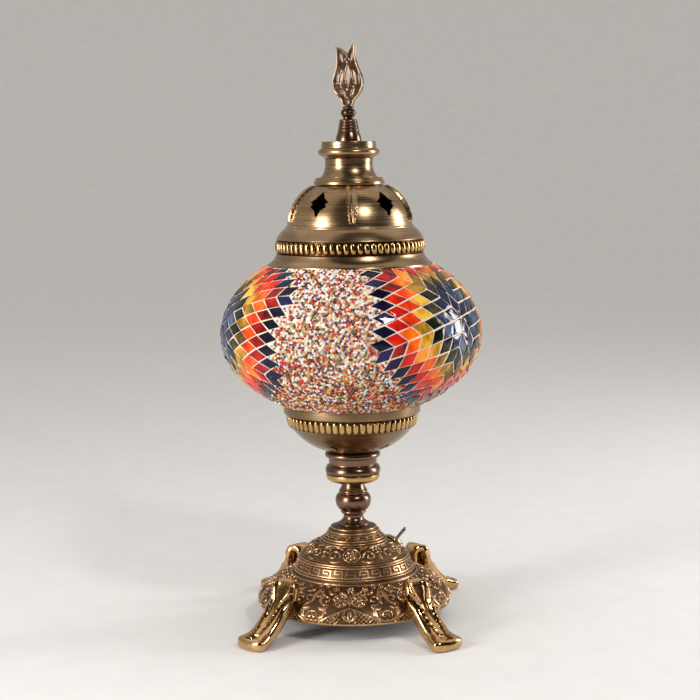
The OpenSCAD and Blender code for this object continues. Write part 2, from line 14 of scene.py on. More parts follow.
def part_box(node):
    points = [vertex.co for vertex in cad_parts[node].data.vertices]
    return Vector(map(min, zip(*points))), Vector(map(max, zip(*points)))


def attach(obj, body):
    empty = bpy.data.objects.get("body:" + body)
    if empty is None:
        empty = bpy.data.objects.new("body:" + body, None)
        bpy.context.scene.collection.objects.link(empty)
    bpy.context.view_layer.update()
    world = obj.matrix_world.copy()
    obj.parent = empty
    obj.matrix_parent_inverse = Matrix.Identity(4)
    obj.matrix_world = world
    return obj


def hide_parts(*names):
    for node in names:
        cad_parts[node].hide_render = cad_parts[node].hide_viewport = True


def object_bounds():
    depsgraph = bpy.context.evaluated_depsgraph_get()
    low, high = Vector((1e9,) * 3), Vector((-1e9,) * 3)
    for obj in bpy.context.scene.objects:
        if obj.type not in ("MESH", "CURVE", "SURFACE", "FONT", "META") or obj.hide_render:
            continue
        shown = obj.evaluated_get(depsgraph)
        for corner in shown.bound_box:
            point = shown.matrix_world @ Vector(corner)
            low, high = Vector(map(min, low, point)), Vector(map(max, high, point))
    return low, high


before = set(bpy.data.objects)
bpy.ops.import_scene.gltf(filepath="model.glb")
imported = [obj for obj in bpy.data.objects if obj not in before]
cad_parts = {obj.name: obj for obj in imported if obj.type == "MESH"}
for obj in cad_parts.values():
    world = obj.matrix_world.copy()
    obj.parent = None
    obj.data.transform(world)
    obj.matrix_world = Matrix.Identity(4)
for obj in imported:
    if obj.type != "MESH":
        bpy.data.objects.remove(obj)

cad_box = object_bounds()
MM = 0.001
LAMP_H = cad_box[1].z / MM
rng = np.random.default_rng(7)


# ---------- camera, floor and light ----------

CAMERA_DISTANCE = 1.0
CAMERA_HEIGHT = 0.296
CAMERA_BEARING = 3.0
CAMERA_PITCH = 6.9
CAMERA_ROLL = -0.74
CAMERA_LENS = 81.0
CAMERA_SENSOR = 36.0
CAMERA_SHIFT = -0.0019
SKY_COLOUR, SKY_STRENGTH = (1.0, 0.985, 0.96, 1), 0.78
# Outline of the dark screen behind the camera: (distance, height) from the floor to overhead
SCREEN_LINE = ((1.9, 0.03), (1.9, 1.7), (1.5, 2.6), (0.9, 3.1), (0.25, 3.3))
SCREEN_BEARINGS = range(-38, 87, 4)
FLOOR_STEPS = 96


def around(distance, bearing, height):
    """Point in metres at a bearing from the front."""
    a = math.radians(bearing)
    return Vector((distance * math.sin(a), -distance * math.cos(a), height))


def linked(name, data):
    """New object of the data, in the scene."""
    obj = bpy.data.objects.new(name, data)
    bpy.context.scene.collection.objects.link(obj)
    return obj


def make_camera():
    data = bpy.data.cameras.new("camera")
    camera = linked("camera", data)
    data.lens = CAMERA_LENS
    data.sensor_width = CAMERA_SENSOR
    data.shift_x = CAMERA_SHIFT
    camera.location = around(CAMERA_DISTANCE, CAMERA_BEARING, CAMERA_HEIGHT)
    camera.matrix_world = (Matrix.Translation(camera.location)
                           @ Matrix.Rotation(math.radians(CAMERA_BEARING), 4, "Z")
                           @ Matrix.Rotation(math.radians(90 - CAMERA_PITCH), 4, "X")
                           @ Matrix.Rotation(math.radians(CAMERA_ROLL), 4, "Z"))
    bpy.context.scene.camera = camera


def area_light(name, bearing, distance, height, size, power):
    """Rectangular light aimed at the middle of the lamp. The bearing is from the camera's."""
    data = bpy.data.lights.new(name, "AREA")
    data.shape = "RECTANGLE"
    data.size, data.size_y = size
    data.energy = power
    light = linked(name, data)
    light.location = around(distance, bearing + CAMERA_BEARING, height)
    aim = Vector((0, 0, LAMP_H * MM * 0.5)) - light.location
    light.rotation_euler = aim.to_track_quat("-Z", "Y").to_euler()


def make_studio():
    world = bpy.data.worlds.new("studio")
    bpy.context.scene.world = world
    world.use_nodes = True
    background = world.node_tree.nodes["Background"]
    background.inputs["Color"].default_value = SKY_COLOUR
    background.inputs["Strength"].default_value = SKY_STRENGTH
    bpy.context.scene.view_settings.view_transform = "Standard"
    area_light("softbox_left", -52, 1.15, 0.42, (0.30, 0.60), 12)
    area_light("softbox_right", 103, 1.15, 0.40, (0.24, 0.58), 9)
    area_light("small_light_high", 32, 0.95, 1.0, (0.16, 0.16), 4.5)
    make_screen()


def staged(name, verts, faces, material):
    """Piece of the set around the lamp, which isn't part of it."""
    mesh = bpy.data.meshes.new(name)
    mesh.from_pydata(verts, [], faces)
    mesh.materials.append(material)
    obj = linked(name, mesh)
    return obj


def make_screen():
    """Dark curved screen behind the camera that shows only in reflections, as in a product studio."""
    finish = Finish("black_screen", rough=0.9)
    finish.to("Base Color", finish.ramp(finish.noise(6, 2), (0.3, (0.012, 0.011, 0.01)),
                                        (0.7, (0.03, 0.027, 0.024))))
    rows = len(SCREEN_LINE)
    verts = [around(d, b + CAMERA_BEARING, z) for b in SCREEN_BEARINGS for d, z in SCREEN_LINE]
    faces = [(k * rows + j, k * rows + j + 1, (k + 1) * rows + j + 1, (k + 1) * rows + j)
             for k in range(len(SCREEN_BEARINGS) - 1) for j in range(rows - 1)]
    screen = staged("screen", verts, faces, finish.material)
    screen.visible_camera = screen.visible_diffuse = screen.visible_shadow = False


def make_floor():
    """Wide pale sheet that sweeps up far from the lamp, so that no horizon shows."""
    finish = Finish("floor_paper", rough=0.75)
    grain = finish.noise(40, 3)
    finish.to("Base Color", finish.ramp(grain, (0.3, (0.70, 0.685, 0.665)), (0.7, (0.73, 0.715, 0.695))))
    rings = [(0.8, 0.0), (1.6, 0.0)] + bezier((2.0, 0.0), (4.2, 0.0), (5.2, 1.0), (5.2, 4.5), 16)
    verts = [around(r, 360 * k / FLOOR_STEPS, z) for r, z in rings for k in range(FLOOR_STEPS)]
    verts.append((0, 0, 0))
    faces = [(len(verts) - 1, k, (k + 1) % FLOOR_STEPS) for k in range(FLOOR_STEPS)]
    faces += ring_faces(len(rings), FLOOR_STEPS, closed=False, turned=True)
    staged("floor", verts, faces, finish.material).data.shade_smooth()


# ---------- materials ----------

SOCKETS = {"rough": "Roughness", "metal": "Metallic", "ior": "IOR", "coat": "Coat Weight",
           "coat_rough": "Coat Roughness", "clear": "Transmission Weight", "colour": "Base Color",
           "specular": "Specular IOR Level"}


class Finish:
    """A Principled material, and short calls that wire procedural nodes into it."""

    def __init__(self, name, **values):
        self.material = bpy.data.materials.new(name)
        self.material.use_nodes = True
        self.tree = self.material.node_tree
        self.shader = self.tree.nodes["Principled BSDF"]
        for key, value in values.items():
            self.shader.inputs[SOCKETS[key]].default_value = value
        self.place = self.tree.nodes.new("ShaderNodeTexCoord").outputs["Object"]

    def node(self, kind, inputs=(), **settings):
        made = self.tree.nodes.new("ShaderNode" + kind)
        for key, value in settings.items():
            setattr(made, key, value)
        for key, value in dict(inputs).items():
            if isinstance(value, bpy.types.NodeSocket):
                self.tree.links.new(value, made.inputs[key])
            else:
                made.inputs[key].default_value = value
        return made

    def to(self, socket, output):
        self.tree.links.new(output, self.shader.inputs[socket])

    def stretched(self, scale):
        return self.node("Mapping", {"Vector": self.place, "Scale": scale}).outputs["Vector"]

    def noise(self, scale, detail=4, stretch=None, rough=0.55):
        at = self.stretched(stretch) if stretch else self.place
        return self.node("TexNoise", {"Vector": at, "Scale": scale, "Detail": detail,
                                      "Roughness": rough}).outputs["Fac"]

    def ramp(self, factor, *stops):
        made = self.node("ValToRGB", {"Fac": factor})
        elements = made.color_ramp.elements
        while len(elements) < len(stops):
            elements.new(0.5)
        for element, (position, colour) in zip(elements, stops):
            element.position = position
            element.color = (*colour, 1)
        return made.outputs["Color"]

    def spread(self, value, low, high):
        """Values of about 0.3 to 0.7 spread over low to high."""
        return self.node("MapRange", {"Value": value, "From Min": 0.3, "From Max": 0.7,
                                      "To Min": low, "To Max": high}).outputs["Result"]

    def maths(self, operation, a, b):
        return self.node("Math", {0: a, 1: b}, operation=operation).outputs["Value"]

    def mix(self, factor, a, b, how="MIX"):
        made = self.node("Mix", {}, data_type="RGBA", blend_type=how)
        for socket, value in ((made.inputs[0], factor), (made.inputs[6], a), (made.inputs[7], b)):
            if isinstance(value, bpy.types.NodeSocket):
                self.tree.links.new(value, socket)
            else:
                socket.default_value = (*value, 1) if isinstance(value, tuple) else value
        return made.outputs[2]

    def attribute(self, name, output="Fac"):
        return self.node("Attribute", attribute_name=name).outputs[output]

    def bump(self, height, strength, depth=0.0002):
        made = self.node("Bump", {"Height": height, "Strength": strength, "Distance": depth})
        self.to("Normal", made.outputs["Normal"])


def metal(name, dark, mid, light, rough=(0.2, 0.38), brush=None, relief=None, bump=0.25):
    """Metal whose tone wanders, with brush lines along a stretch and darker recesses by relief."""
    finish = Finish(name, metal=1.0)
    patches = finish.noise(45, 5)
    grain = finish.noise(1, 4, brush, 0.7) if brush else finish.noise(700, 4, None, 0.65)
    tone = finish.mix(0.5, patches, grain)
    colour = finish.ramp(tone, (0.34, dark), (0.5, mid), (0.66, light))
    roughness = finish.spread(grain, *rough)
    if relief:
        # The relief value darkens recesses and brightens high points: patina and wear on the cast parts,
        # painted shade on the gadroon strips
        wear_and_painted_shade = finish.attribute("relief")
        spotted = finish.maths("ADD", wear_and_painted_shade, finish.spread(finish.noise(260, 4), -0.16, 0.16))
        shade = finish.ramp(spotted, (0.12, relief[0]), (0.55, relief[1]), (0.86, relief[2]))
        colour = finish.mix(1.0, colour, shade, "MULTIPLY")
        roughness = finish.maths("SUBTRACT", roughness, finish.maths("MULTIPLY", wear_and_painted_shade, 0.12))
    finish.to("Base Color", colour)
    finish.to("Roughness", roughness)
    finish.bump(grain, bump, 0.00006)
    return finish.material


def plain(name, colour, rough, spread=0.12, scale=300, bump=0.15, **values):
    """Moulded or glazed material with a faint mottle in colour and gloss."""
    finish = Finish(name, **values)
    grain = finish.noise(scale, 4)
    darker = tuple(c * (1 - spread) for c in colour)
    lighter = tuple(min(1, c * (1 + spread)) for c in colour)
    finish.to("Base Color", finish.ramp(grain, (0.3, darker), (0.7, lighter)))
    finish.to("Roughness", finish.spread(grain, rough * 0.85, rough * 1.2))
    finish.bump(grain, bump, 0.00005)
    return finish.material


def stained_glass(name, *stops):
    """Cut glass tile with cloudy streaks. Each tile's tone shifts the streaks."""
    finish = Finish(name, ior=1.52, specular=0.22, coat=0.06, coat_rough=0.03)
    clouds = finish.noise(95, 5, (1, 1, 0.8), 0.62)
    tone = finish.maths("ADD", clouds, finish.maths("MULTIPLY", finish.attribute("tone"), 0.34))
    shifted = finish.maths("SUBTRACT", tone, 0.17)
    finish.to("Base Color", finish.ramp(shifted, *stops))
    finish.to("Roughness", finish.spread(finish.noise(240, 3), 0.05, 0.11))
    finish.bump(finish.noise(130, 2), 0.22, 0.0006)
    return finish.material


def bead_glass():
    finish = Finish("bead_glass", ior=1.5, specular=0.45, coat=0.2, coat_rough=0.06)
    tint = finish.attribute("tint", "Color")
    cloud = finish.ramp(finish.noise(900, 2), (0.3, (0.80, 0.80, 0.80)), (0.7, (1, 1, 1)))
    finish.to("Base Color", finish.mix(1.0, tint, cloud, "MULTIPLY"))
    finish.to("Roughness", finish.spread(finish.noise(600, 2), 0.12, 0.24))
    return finish.material


def grout():
    """White setting paste, warmer and dirtier in patches."""
    finish = Finish("mosaic_grout", specular=0.35)
    grain = finish.noise(800, 5)
    dirt = finish.noise(60, 4)
    pale = finish.ramp(grain, (0.3, (0.66, 0.50, 0.35)), (0.6, (0.88, 0.78, 0.64)))
    finish.to("Base Color", finish.mix(finish.spread(dirt, 0.0, 0.28), pale, (0.62, 0.42, 0.26)))
    finish.to("Roughness", finish.spread(grain, 0.45, 0.7))
    finish.bump(grain, 0.5, 0.0002)
    return finish.material


def clear_glass(name, tint, rough=0.02):
    finish = Finish(name, clear=1.0, ior=1.48)
    wave = finish.noise(35, 2)
    finish.to("Base Color", finish.ramp(wave, (0.3, tuple(c * 0.97 for c in tint)), (0.7, tint)))
    finish.to("Roughness", finish.spread(wave, rough, rough * 2))
    return finish.material


HORIZONTAL_BRUSH = (25, 25, 2600)
MATERIALS = {
    "patinated_brass": metal("patinated_cast_brass", (0.26, 0.163, 0.095), (0.37, 0.24, 0.14),
                             (0.48, 0.325, 0.20), (0.36, 0.5),
                             relief=((0.36, 0.30, 0.26), (0.80, 0.75, 0.69), (1.3, 1.2, 1.06))),
    "polished_brass": metal("polished_cast_brass", (0.32, 0.185, 0.075), (0.50, 0.315, 0.145),
                            (0.66, 0.455, 0.25), (0.2, 0.34),
                            relief=((0.24, 0.18, 0.14), (0.85, 0.82, 0.78), (1.2, 1.18, 1.12))),
    # Its darkest tone is the painted shade of the gadroon band and the beads' flanks
    "strip_brass": metal("gadroon_strip_brass", (0.25, 0.145, 0.055), (0.40, 0.25, 0.105),
                         (0.55, 0.375, 0.18), (0.2, 0.34),
                         relief=((0.18, 0.13, 0.10), (0.8, 0.76, 0.72), (1.2, 1.18, 1.12))),
    "gold_rim": metal("gold_spun_rim", (0.38, 0.235, 0.085), (0.52, 0.335, 0.135), (0.65, 0.45, 0.20),
                      (0.18, 0.3), HORIZONTAL_BRUSH),
    "antique_brass": metal("antique_spun_brass", (0.23, 0.14, 0.07), (0.36, 0.23, 0.122),
                           (0.49, 0.335, 0.19), (0.19, 0.34), HORIZONTAL_BRUSH),
    "cup_brass": metal("dark_antique_spun_brass", (0.14, 0.085, 0.045), (0.23, 0.145, 0.078),
                       (0.34, 0.225, 0.125), (0.18, 0.32), HORIZONTAL_BRUSH),
    "cast_brass": metal("antique_cast_brass", (0.20, 0.135, 0.09), (0.32, 0.225, 0.15),
                        (0.46, 0.34, 0.24), (0.2, 0.34),
                        relief=((0.22, 0.17, 0.14), (0.75, 0.7, 0.66), (1.3, 1.25, 1.2))),
    "dark_bronze": metal("dark_turned_bronze", (0.105, 0.060, 0.038), (0.17, 0.10, 0.064),
                         (0.26, 0.165, 0.105), (0.18, 0.32), HORIZONTAL_BRUSH),
    "zinc_steel": metal("zinc_plated_steel", (0.46, 0.46, 0.45), (0.58, 0.58, 0.57), (0.68, 0.68, 0.67),
                        (0.25, 0.42)),
    "dark_steel": metal("toggle_steel", (0.16, 0.15, 0.14), (0.24, 0.22, 0.2), (0.36, 0.34, 0.31),
                        (0.22, 0.36)),
    "black_plate": plain("black_painted_plate", (0.03, 0.027, 0.024), 0.5),
    "black_plastic": plain("black_thermoset", (0.022, 0.021, 0.02), 0.38),
    "rubber": plain("black_rubber", (0.02, 0.019, 0.018), 0.62, bump=0.3),
    "ivory_plastic": plain("ivory_plastic", (0.76, 0.72, 0.62), 0.42, 0.05),
    "wire_insulation": plain("wire_insulation", (0.58, 0.46, 0.17), 0.4, 0.08),
    "porcelain": plain("glazed_porcelain", (0.84, 0.81, 0.74), 0.16, 0.04, coat=0.5),
    "globe_glass": clear_glass("blown_globe_glass", (0.96, 0.95, 0.92)),
    "bulb_glass": clear_glass("bulb_envelope_glass", (0.99, 0.98, 0.96), 0.01),
    "tungsten": metal("tungsten_wire", (0.3, 0.28, 0.26), (0.42, 0.39, 0.36), (0.5, 0.47, 0.43)),
    "beads": bead_glass(),
    "grout": grout(),
}
# Material slot of each tile ring from the middle out, with its glass colours from dark to light
TILE_GLASS = [
    ("deep_blue_glass", ((0.3, (0.003, 0.004, 0.018)), (0.55, (0.008, 0.012, 0.06)),
                         (0.75, (0.02, 0.035, 0.15)))),
    ("slate_blue_glass", ((0.28, (0.006, 0.010, 0.025)), (0.5, (0.018, 0.032, 0.085)),
                          (0.75, (0.08, 0.12, 0.22)))),
    ("olive_black_glass", ((0.3, (0.005, 0.006, 0.003)), (0.55, (0.014, 0.015, 0.007)),
                           (0.78, (0.07, 0.06, 0.025)))),
    ("amber_glass", ((0.30, (0.07, 0.045, 0.007)), (0.42, (0.26, 0.135, 0.010)), (0.56, (0.60, 0.28, 0.015)),
                     (0.74, (0.84, 0.52, 0.06)))),
    ("orange_glass", ((0.28, (0.32, 0.014, 0.005)), (0.44, (0.70, 0.045, 0.005)), (0.6, (0.86, 0.13, 0.007)),
                      (0.78, (0.92, 0.34, 0.02)))),
    ("red_glass", ((0.27, (0.05, 0.004, 0.004)), (0.41, (0.26, 0.008, 0.006)), (0.6, (0.58, 0.012, 0.007)),
                   (0.8, (0.76, 0.05, 0.012)))),
    ("navy_glass", ((0.3, (0.003, 0.003, 0.009)), (0.6, (0.007, 0.006, 0.030)),
                    (0.86, (0.025, 0.014, 0.15)))),
]


# ---------- mesh helpers ----------

SHARP = 38


def bezier(a, b, c, d, steps=10, skip=0):
    rows = []
    for i in range(skip, steps + 1):
        t = i / steps
        s = 1 - t
        rows.append(tuple(s**3 * p + 3 * s * s * t * q + 3 * s * t * t * r + t**3 * w
                          for p, q, r, w in zip(a, b, c, d)))
    return rows


def arc(centre, radius, start, end, steps=10):
    """Points on an arc in the outline's plane, angles in degrees from the outward direction."""
    angles = [math.radians(start + (end - start) * i / steps) for i in range(steps + 1)]
    return [(centre[0] + radius * math.cos(a), centre[1] + radius * math.sin(a)) for a in angles]


def rounded(outline, radius=0.35, closed=True, limit=22):
    """The outline with each corner sharper than limit degrees replaced by a small curve."""
    points = [np.array(p, float) for p in outline]
    count = len(points)
    made = []
    for i, p in enumerate(points):
        if not closed and i in (0, count - 1):
            made.append(tuple(p))
            continue
        before, after = points[i - 1] - p, points[(i + 1) % count] - p
        la, lb = np.linalg.norm(before), np.linalg.norm(after)
        if la < 1e-6 or lb < 1e-6:
            continue
        turn = 180 - math.degrees(math.acos(np.clip(before @ after / la / lb, -1, 1)))
        if turn < limit:
            made.append(tuple(p))
            continue
        reach = min(radius, la * 0.45, lb * 0.45)
        start, end = p + before / la * reach, p + after / lb * reach
        for t in (0, 0.25, 0.5, 0.75, 1):
            made.append(tuple((1 - t)**2 * start + 2 * t * (1 - t) * p + t * t * end))
    return made


def left_of(line):
    """Unit vectors at right angles to a line of points, to the left of its run."""
    along = np.gradient(line, axis=0)
    along /= np.linalg.norm(along, axis=1)[:, None]
    return np.stack([-along[:, 1], along[:, 0]], 1)


def wall(line, thickness):
    """Closed outline of a sheet whose outer line runs upwards."""
    points = np.array(line, float)
    inner = points + thickness * left_of(points)
    inner[:, 0] = np.maximum(inner[:, 0], 0.5)
    return [tuple(p) for p in points] + [tuple(p) for p in inner[::-1]]


def seated(outline, node):
    """The outline stretched so that its height and reach are those of the CAD node's box, in mm."""
    low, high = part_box(node)
    points = np.array(outline, float)
    z0, z1 = points[:, 1].min(), points[:, 1].max()
    points[:, 1] = (low.z + (points[:, 1] - z0) * (high.z - low.z) / (z1 - z0)) / MM
    points[:, 0] *= high.x / MM / points[:, 0].max()
    return [tuple(p) for p in points]


def make_piece(name, verts, faces, material, body, replaces=(), relief=None, sharp=SHARP):
    """Object from millimetre points, smooth-shaded up to the sharp angle, riding on its body."""
    mesh = bpy.data.meshes.new(name)
    mesh.from_pydata((np.asarray(verts, float) * MM).tolist(), [], faces)
    if relief is not None:
        set_values(mesh, "relief", relief)
    mesh.materials.append(material)
    mesh.shade_smooth()
    mesh.set_sharp_from_angle(angle=math.radians(sharp))
    obj = linked(name, mesh)
    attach(obj, body)
    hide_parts(*replaces)
    return obj


def set_values(mesh, name, values):
    """Number on each point that a material reads by name."""
    mesh.attributes.new(name, "FLOAT", "POINT").data.foreach_set("value", np.asarray(values, np.float32))


def ring_faces(rows, steps, closed=True, turned=False):
    """Quads between rings of points, with point index = row * steps + step. The last ring meets the
    first if closed, and turned quads face the other way."""
    faces = []
    for row in range(rows if closed else rows - 1):
        a, b = row * steps, (row + 1) % rows * steps
        for k in range(steps):
            n = (k + 1) % steps
            faces.append((a + k, b + k, b + n, a + n) if turned else (a + k, a + n, b + n, b + k))
    return faces


def revolve(outline, steps):
    """Points and quads of a closed (radius, height) outline turned about the lamp's axis."""
    points = np.array(outline, float)
    angle = np.arange(steps) * 2 * math.pi / steps
    x = points[:, 0, None] * np.sin(angle)
    y = -points[:, 0, None] * np.cos(angle)
    z = np.repeat(points[:, 1, None], steps, 1)
    return np.stack([x, y, z], 2).reshape(-1, 3), ring_faces(len(points), steps)


def spun(name, outline, node, material, body, steps=256):
    verts, faces = revolve(rounded(seated(outline, node)), steps)
    return make_piece(name, verts, faces, material, body, [node])


def evaluated_mesh(obj):
    """New mesh of what the object looks like with its modifiers or curve settings."""
    bpy.context.view_layer.update()
    return bpy.data.meshes.new_from_object(obj.evaluated_get(bpy.context.evaluated_depsgraph_get()))


def cut(obj, verts, faces):
    """Cuts the closed shape out of obj and leaves no modifier behind."""
    mesh = bpy.data.meshes.new("cutter")
    mesh.from_pydata((np.asarray(verts, float) * MM).tolist(), [], faces)
    bm = bmesh.new()
    bm.from_mesh(mesh)
    bmesh.ops.recalc_face_normals(bm, faces=bm.faces)
    bm.to_mesh(mesh)
    bm.free()
    cutter = linked("cutter", mesh)
    modifier = obj.modifiers.new("cut", "BOOLEAN")
    modifier.operation = "DIFFERENCE"
    modifier.solver = "MANIFOLD"
    modifier.object = cutter
    result = evaluated_mesh(obj)
    obj.modifiers.clear()
    old = obj.data
    obj.data = result
    bpy.data.meshes.remove(old)
    bpy.data.objects.remove(cutter)
    result.shade_smooth()
    result.set_sharp_from_angle(angle=math.radians(SHARP))


def outward(verts, faces):
    """The same faces, all turned so that their normals point out of the closed shape."""
    mesh = bpy.data.meshes.new("turned")
    mesh.from_pydata([tuple(v) for v in verts], [], faces)
    bm = bmesh.new()
    bm.from_mesh(mesh)
    bmesh.ops.recalc_face_normals(bm, faces=bm.faces)
    made = [tuple(v.index for v in f.verts) for f in bm.faces]
    bm.free()
    bpy.data.meshes.remove(mesh)
    return made


def prism(outline, low, high):
    """Points and faces of an outline in x, y pushed from low to high."""
    count = len(outline)
    verts = [(x, y, low) for x, y in outline] + [(x, y, high) for x, y in outline]
    faces = [tuple(range(count))[::-1], tuple(range(count, 2 * count))]
    return verts, faces + ring_faces(2, count, closed=False)


def joined(parts):
    """One list of points and faces from several."""
    verts, faces = [], []
    for some_verts, some_faces in parts:
        base = len(verts)
        verts += [tuple(v) for v in some_verts]
        faces += [tuple(base + i for i in f) for f in some_faces]
    return verts, faces


def placed(verts, matrix):
    points = np.asarray(verts, float)
    turn = np.array(matrix.to_3x3())
    return points @ turn.T + np.array(matrix.translation)


def at_bearing(bearing):
    """Matrix that turns local +X to a bearing."""
    return Matrix.Rotation(math.radians(bearing - 90), 4, "Z")


def flat_point(r, bearing, z):
    a = math.radians(bearing)
    return np.array([r * math.sin(a), -r * math.cos(a), z])


# ---------- relief drawing ----------

def spiral(x, y, start, end, from_r, to_r, width, steps=22):
    """Stroke that winds about (x, y) between two angles while its radius changes."""
    rows = []
    for i in range(steps + 1):
        t = i / steps
        a = math.radians(start + (end - start) * t)
        r = from_r + (to_r - from_r) * t
        rows.append((x + r * math.cos(a), y + r * math.sin(a), width * (1 - 0.35 * t)))
    return rows


def leaf(x, y, to_x, to_y, bend, width, steps=8):
    """Pointed leaf from (x, y) to (to_x, to_y) that bows sideways."""
    rows = []
    for i in range(steps + 1):
        t = i / steps
        bow = bend * math.sin(math.pi * t)
        dx, dy = to_x - x, to_y - y
        long = math.hypot(dx, dy)
        rows.append((x + dx * t - dy / long * bow, y + dy * t + dx / long * bow,
                     max(0.12, width * math.sin(math.pi * min(0.94, t * 0.9 + 0.06)))))
    return rows


def stroke(points, width):
    return [(x, y, width) for x, y in points]


def flower(x, y, radius, petals, turn=0):
    """Round boss with a ring of petals."""
    rows = [[(x - 0.01, y, radius * 0.34), (x + 0.01, y, radius * 0.34)]]
    for k in range(petals):
        a = math.radians(turn + 360 * k / petals)
        rows.append([(x + radius * 0.52 * math.cos(a), y + radius * 0.52 * math.sin(a), radius * 0.16),
                     (x + radius * 0.86 * math.cos(a), y + radius * 0.86 * math.sin(a), radius * 0.27)])
    return rows


def height_of(x, y, strokes):
    """Height 0 to 1 at the points (x, y) of rounded strokes, each a list of (x, y, half width)."""
    height = np.zeros_like(x)
    for line in strokes:
        for (ax, ay, aw), (bx, by, bw) in zip(line, line[1:]):
            dx, dy = bx - ax, by - ay
            t = np.clip(((x - ax) * dx + (y - ay) * dy) / max(dx * dx + dy * dy, 1e-9), 0, 1)
            away = np.hypot(x - ax - t * dx, y - ay - t * dy)
            wide = aw + t * (bw - aw)
            np.maximum(height, np.clip(1 - (away / wide)**2, 0, 1)**0.6, out=height)
    return height


def walk_along(line, spacing):
    """Evenly spaced points on an outline, with each one's distance along it."""
    points = np.array(line, float)
    lengths = np.concatenate([[0], np.cumsum(np.linalg.norm(np.diff(points, axis=0), axis=1))])
    count = max(2, int(round(lengths[-1] / spacing)))
    s = np.linspace(0, lengths[-1], count + 1)
    return np.stack([np.interp(s, lengths, points[:, i]) for i in (0, 1)], 1), s


def relief_band(name, line, inner, repeats, motif, depth, steps, spacing, replaces=(), holes=None):
    """Closed ring whose outer face carries a motif. motif(x, y) gives the height 0 to 1 for x in mm from
    the middle of a repeat and y in mm up the outline. holes smooths the relief away round fittings."""
    points, s = walk_along(line, spacing)
    normal = -left_of(points)
    middle_r = points[:, 0].mean()
    angle = np.arange(steps) * 2 * math.pi / steps
    phase = (angle * repeats / (2 * math.pi) + 0.5) % 1.0
    x = (phase - 0.5) * 2 * math.pi * middle_r / repeats
    gx, gy = np.meshgrid(x, s)
    height = motif(gx, gy)
    edge = np.minimum(s, s[-1] - s)[:, None]
    height = height * np.clip(edge / 0.5, 0, 1)
    if holes:
        height = holes(height, points, angle)
    r = points[:, 0, None] + depth * height * normal[:, 0, None]
    z = points[:, 1, None] + depth * height * normal[:, 1, None]
    outer = np.stack([r * np.sin(angle), -r * np.cos(angle), z], 2).reshape(-1, 3)
    back = np.array(inner, float)
    inside = np.stack([back[:, 0, None] * np.sin(angle), -back[:, 0, None] * np.cos(angle),
                       np.repeat(back[:, 1, None], steps, 1)], 2).reshape(-1, 3)
    verts = np.concatenate([outer, inside])
    shade = np.concatenate([height.ravel(), np.full(len(inside), 0.3)])
    faces = ring_faces(len(points) + len(back), steps)
    return make_piece(name, verts, faces, MATERIALS["patinated_brass"], "root", replaces,
                      shade, 60)


# ---------- base ----------

WALL = 2.4
BORE = 5.2
BASE_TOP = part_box("base_shell")[1].z / MM
SKIRT_LINE = ([(60.8, 11.7), (61.7, 12.6), (61.7, 16.5)]
              + bezier((61.7, 16.5), (58, 23), (50, 28), (39.4, 31.6), 20, 1) + [(39.3, 33.2)])
KEY_LINE = [(39.3, 33.2), (38.2, 34.4), (35.8, 39.6), (35.9, 41.4), (34.2, 42.6)]
DOME_LINE = bezier((34.2, 42.6), (31, 47), (26, 50.4), (21, 51.2), 16)
DOME_LENGTH = walk_along(DOME_LINE, 0.25)[1][-1]
CROWN_LINE = ([(21, 51.2), (21, 52.6), (19.8, 53.4), (16.6, 57), (16.2, 58.2)]
              + bezier((16.2, 58.2), (15.2, 60.4), (13, 61.4), (11, BASE_TOP), 8, 1) + [(5.6, BASE_TOP)])
SWITCH_BEARING, SWITCH_R, SWITCH_Z, SWITCH_TILT = 109, 27, 48.2, 31
SWITCH_HOLE_R, SWITCH_CLEAR_R = 3.1, 7.6
BUSH_BEARING, BUSH_Z = 180, 20.5
BUSH_HOLE_R, BUSH_CLEAR_R = 4.6, 6.4


def inner_line(line, rows):
    """The wall's inner side from the top of the line back to its foot, in a few rows."""
    points = walk_along(line, 0.5)[0]
    inner = points + WALL * left_of(points)
    inner[:, 0] = np.maximum(inner[:, 0], BORE)
    pick = np.linspace(len(inner) - 1, 0, rows).round().astype(int)
    return inner[pick]


def lattice_arch(half, low, tall, pitch):
    """Right half of a low pointed arch filled with crossed bars, clear of the bud in its middle."""
    def top(x):
        return low + tall * (1 - (x / half)**1.25)
    rows = [[(x, top(x), 0.62) for x in np.linspace(0, half, 15)]]
    for lean in (-1, 1):
        for k in range(-12, 20):
            bar = [(k * pitch + t * lean, low + t) for t in np.linspace(0, tall, 60)]
            bar = [(x, y, 0.34) for x, y in bar if 2.6 < x < half and y < top(x) - 0.9]
            if len(bar) > 3:
                rows.append([bar[0], bar[-1]])
    return rows


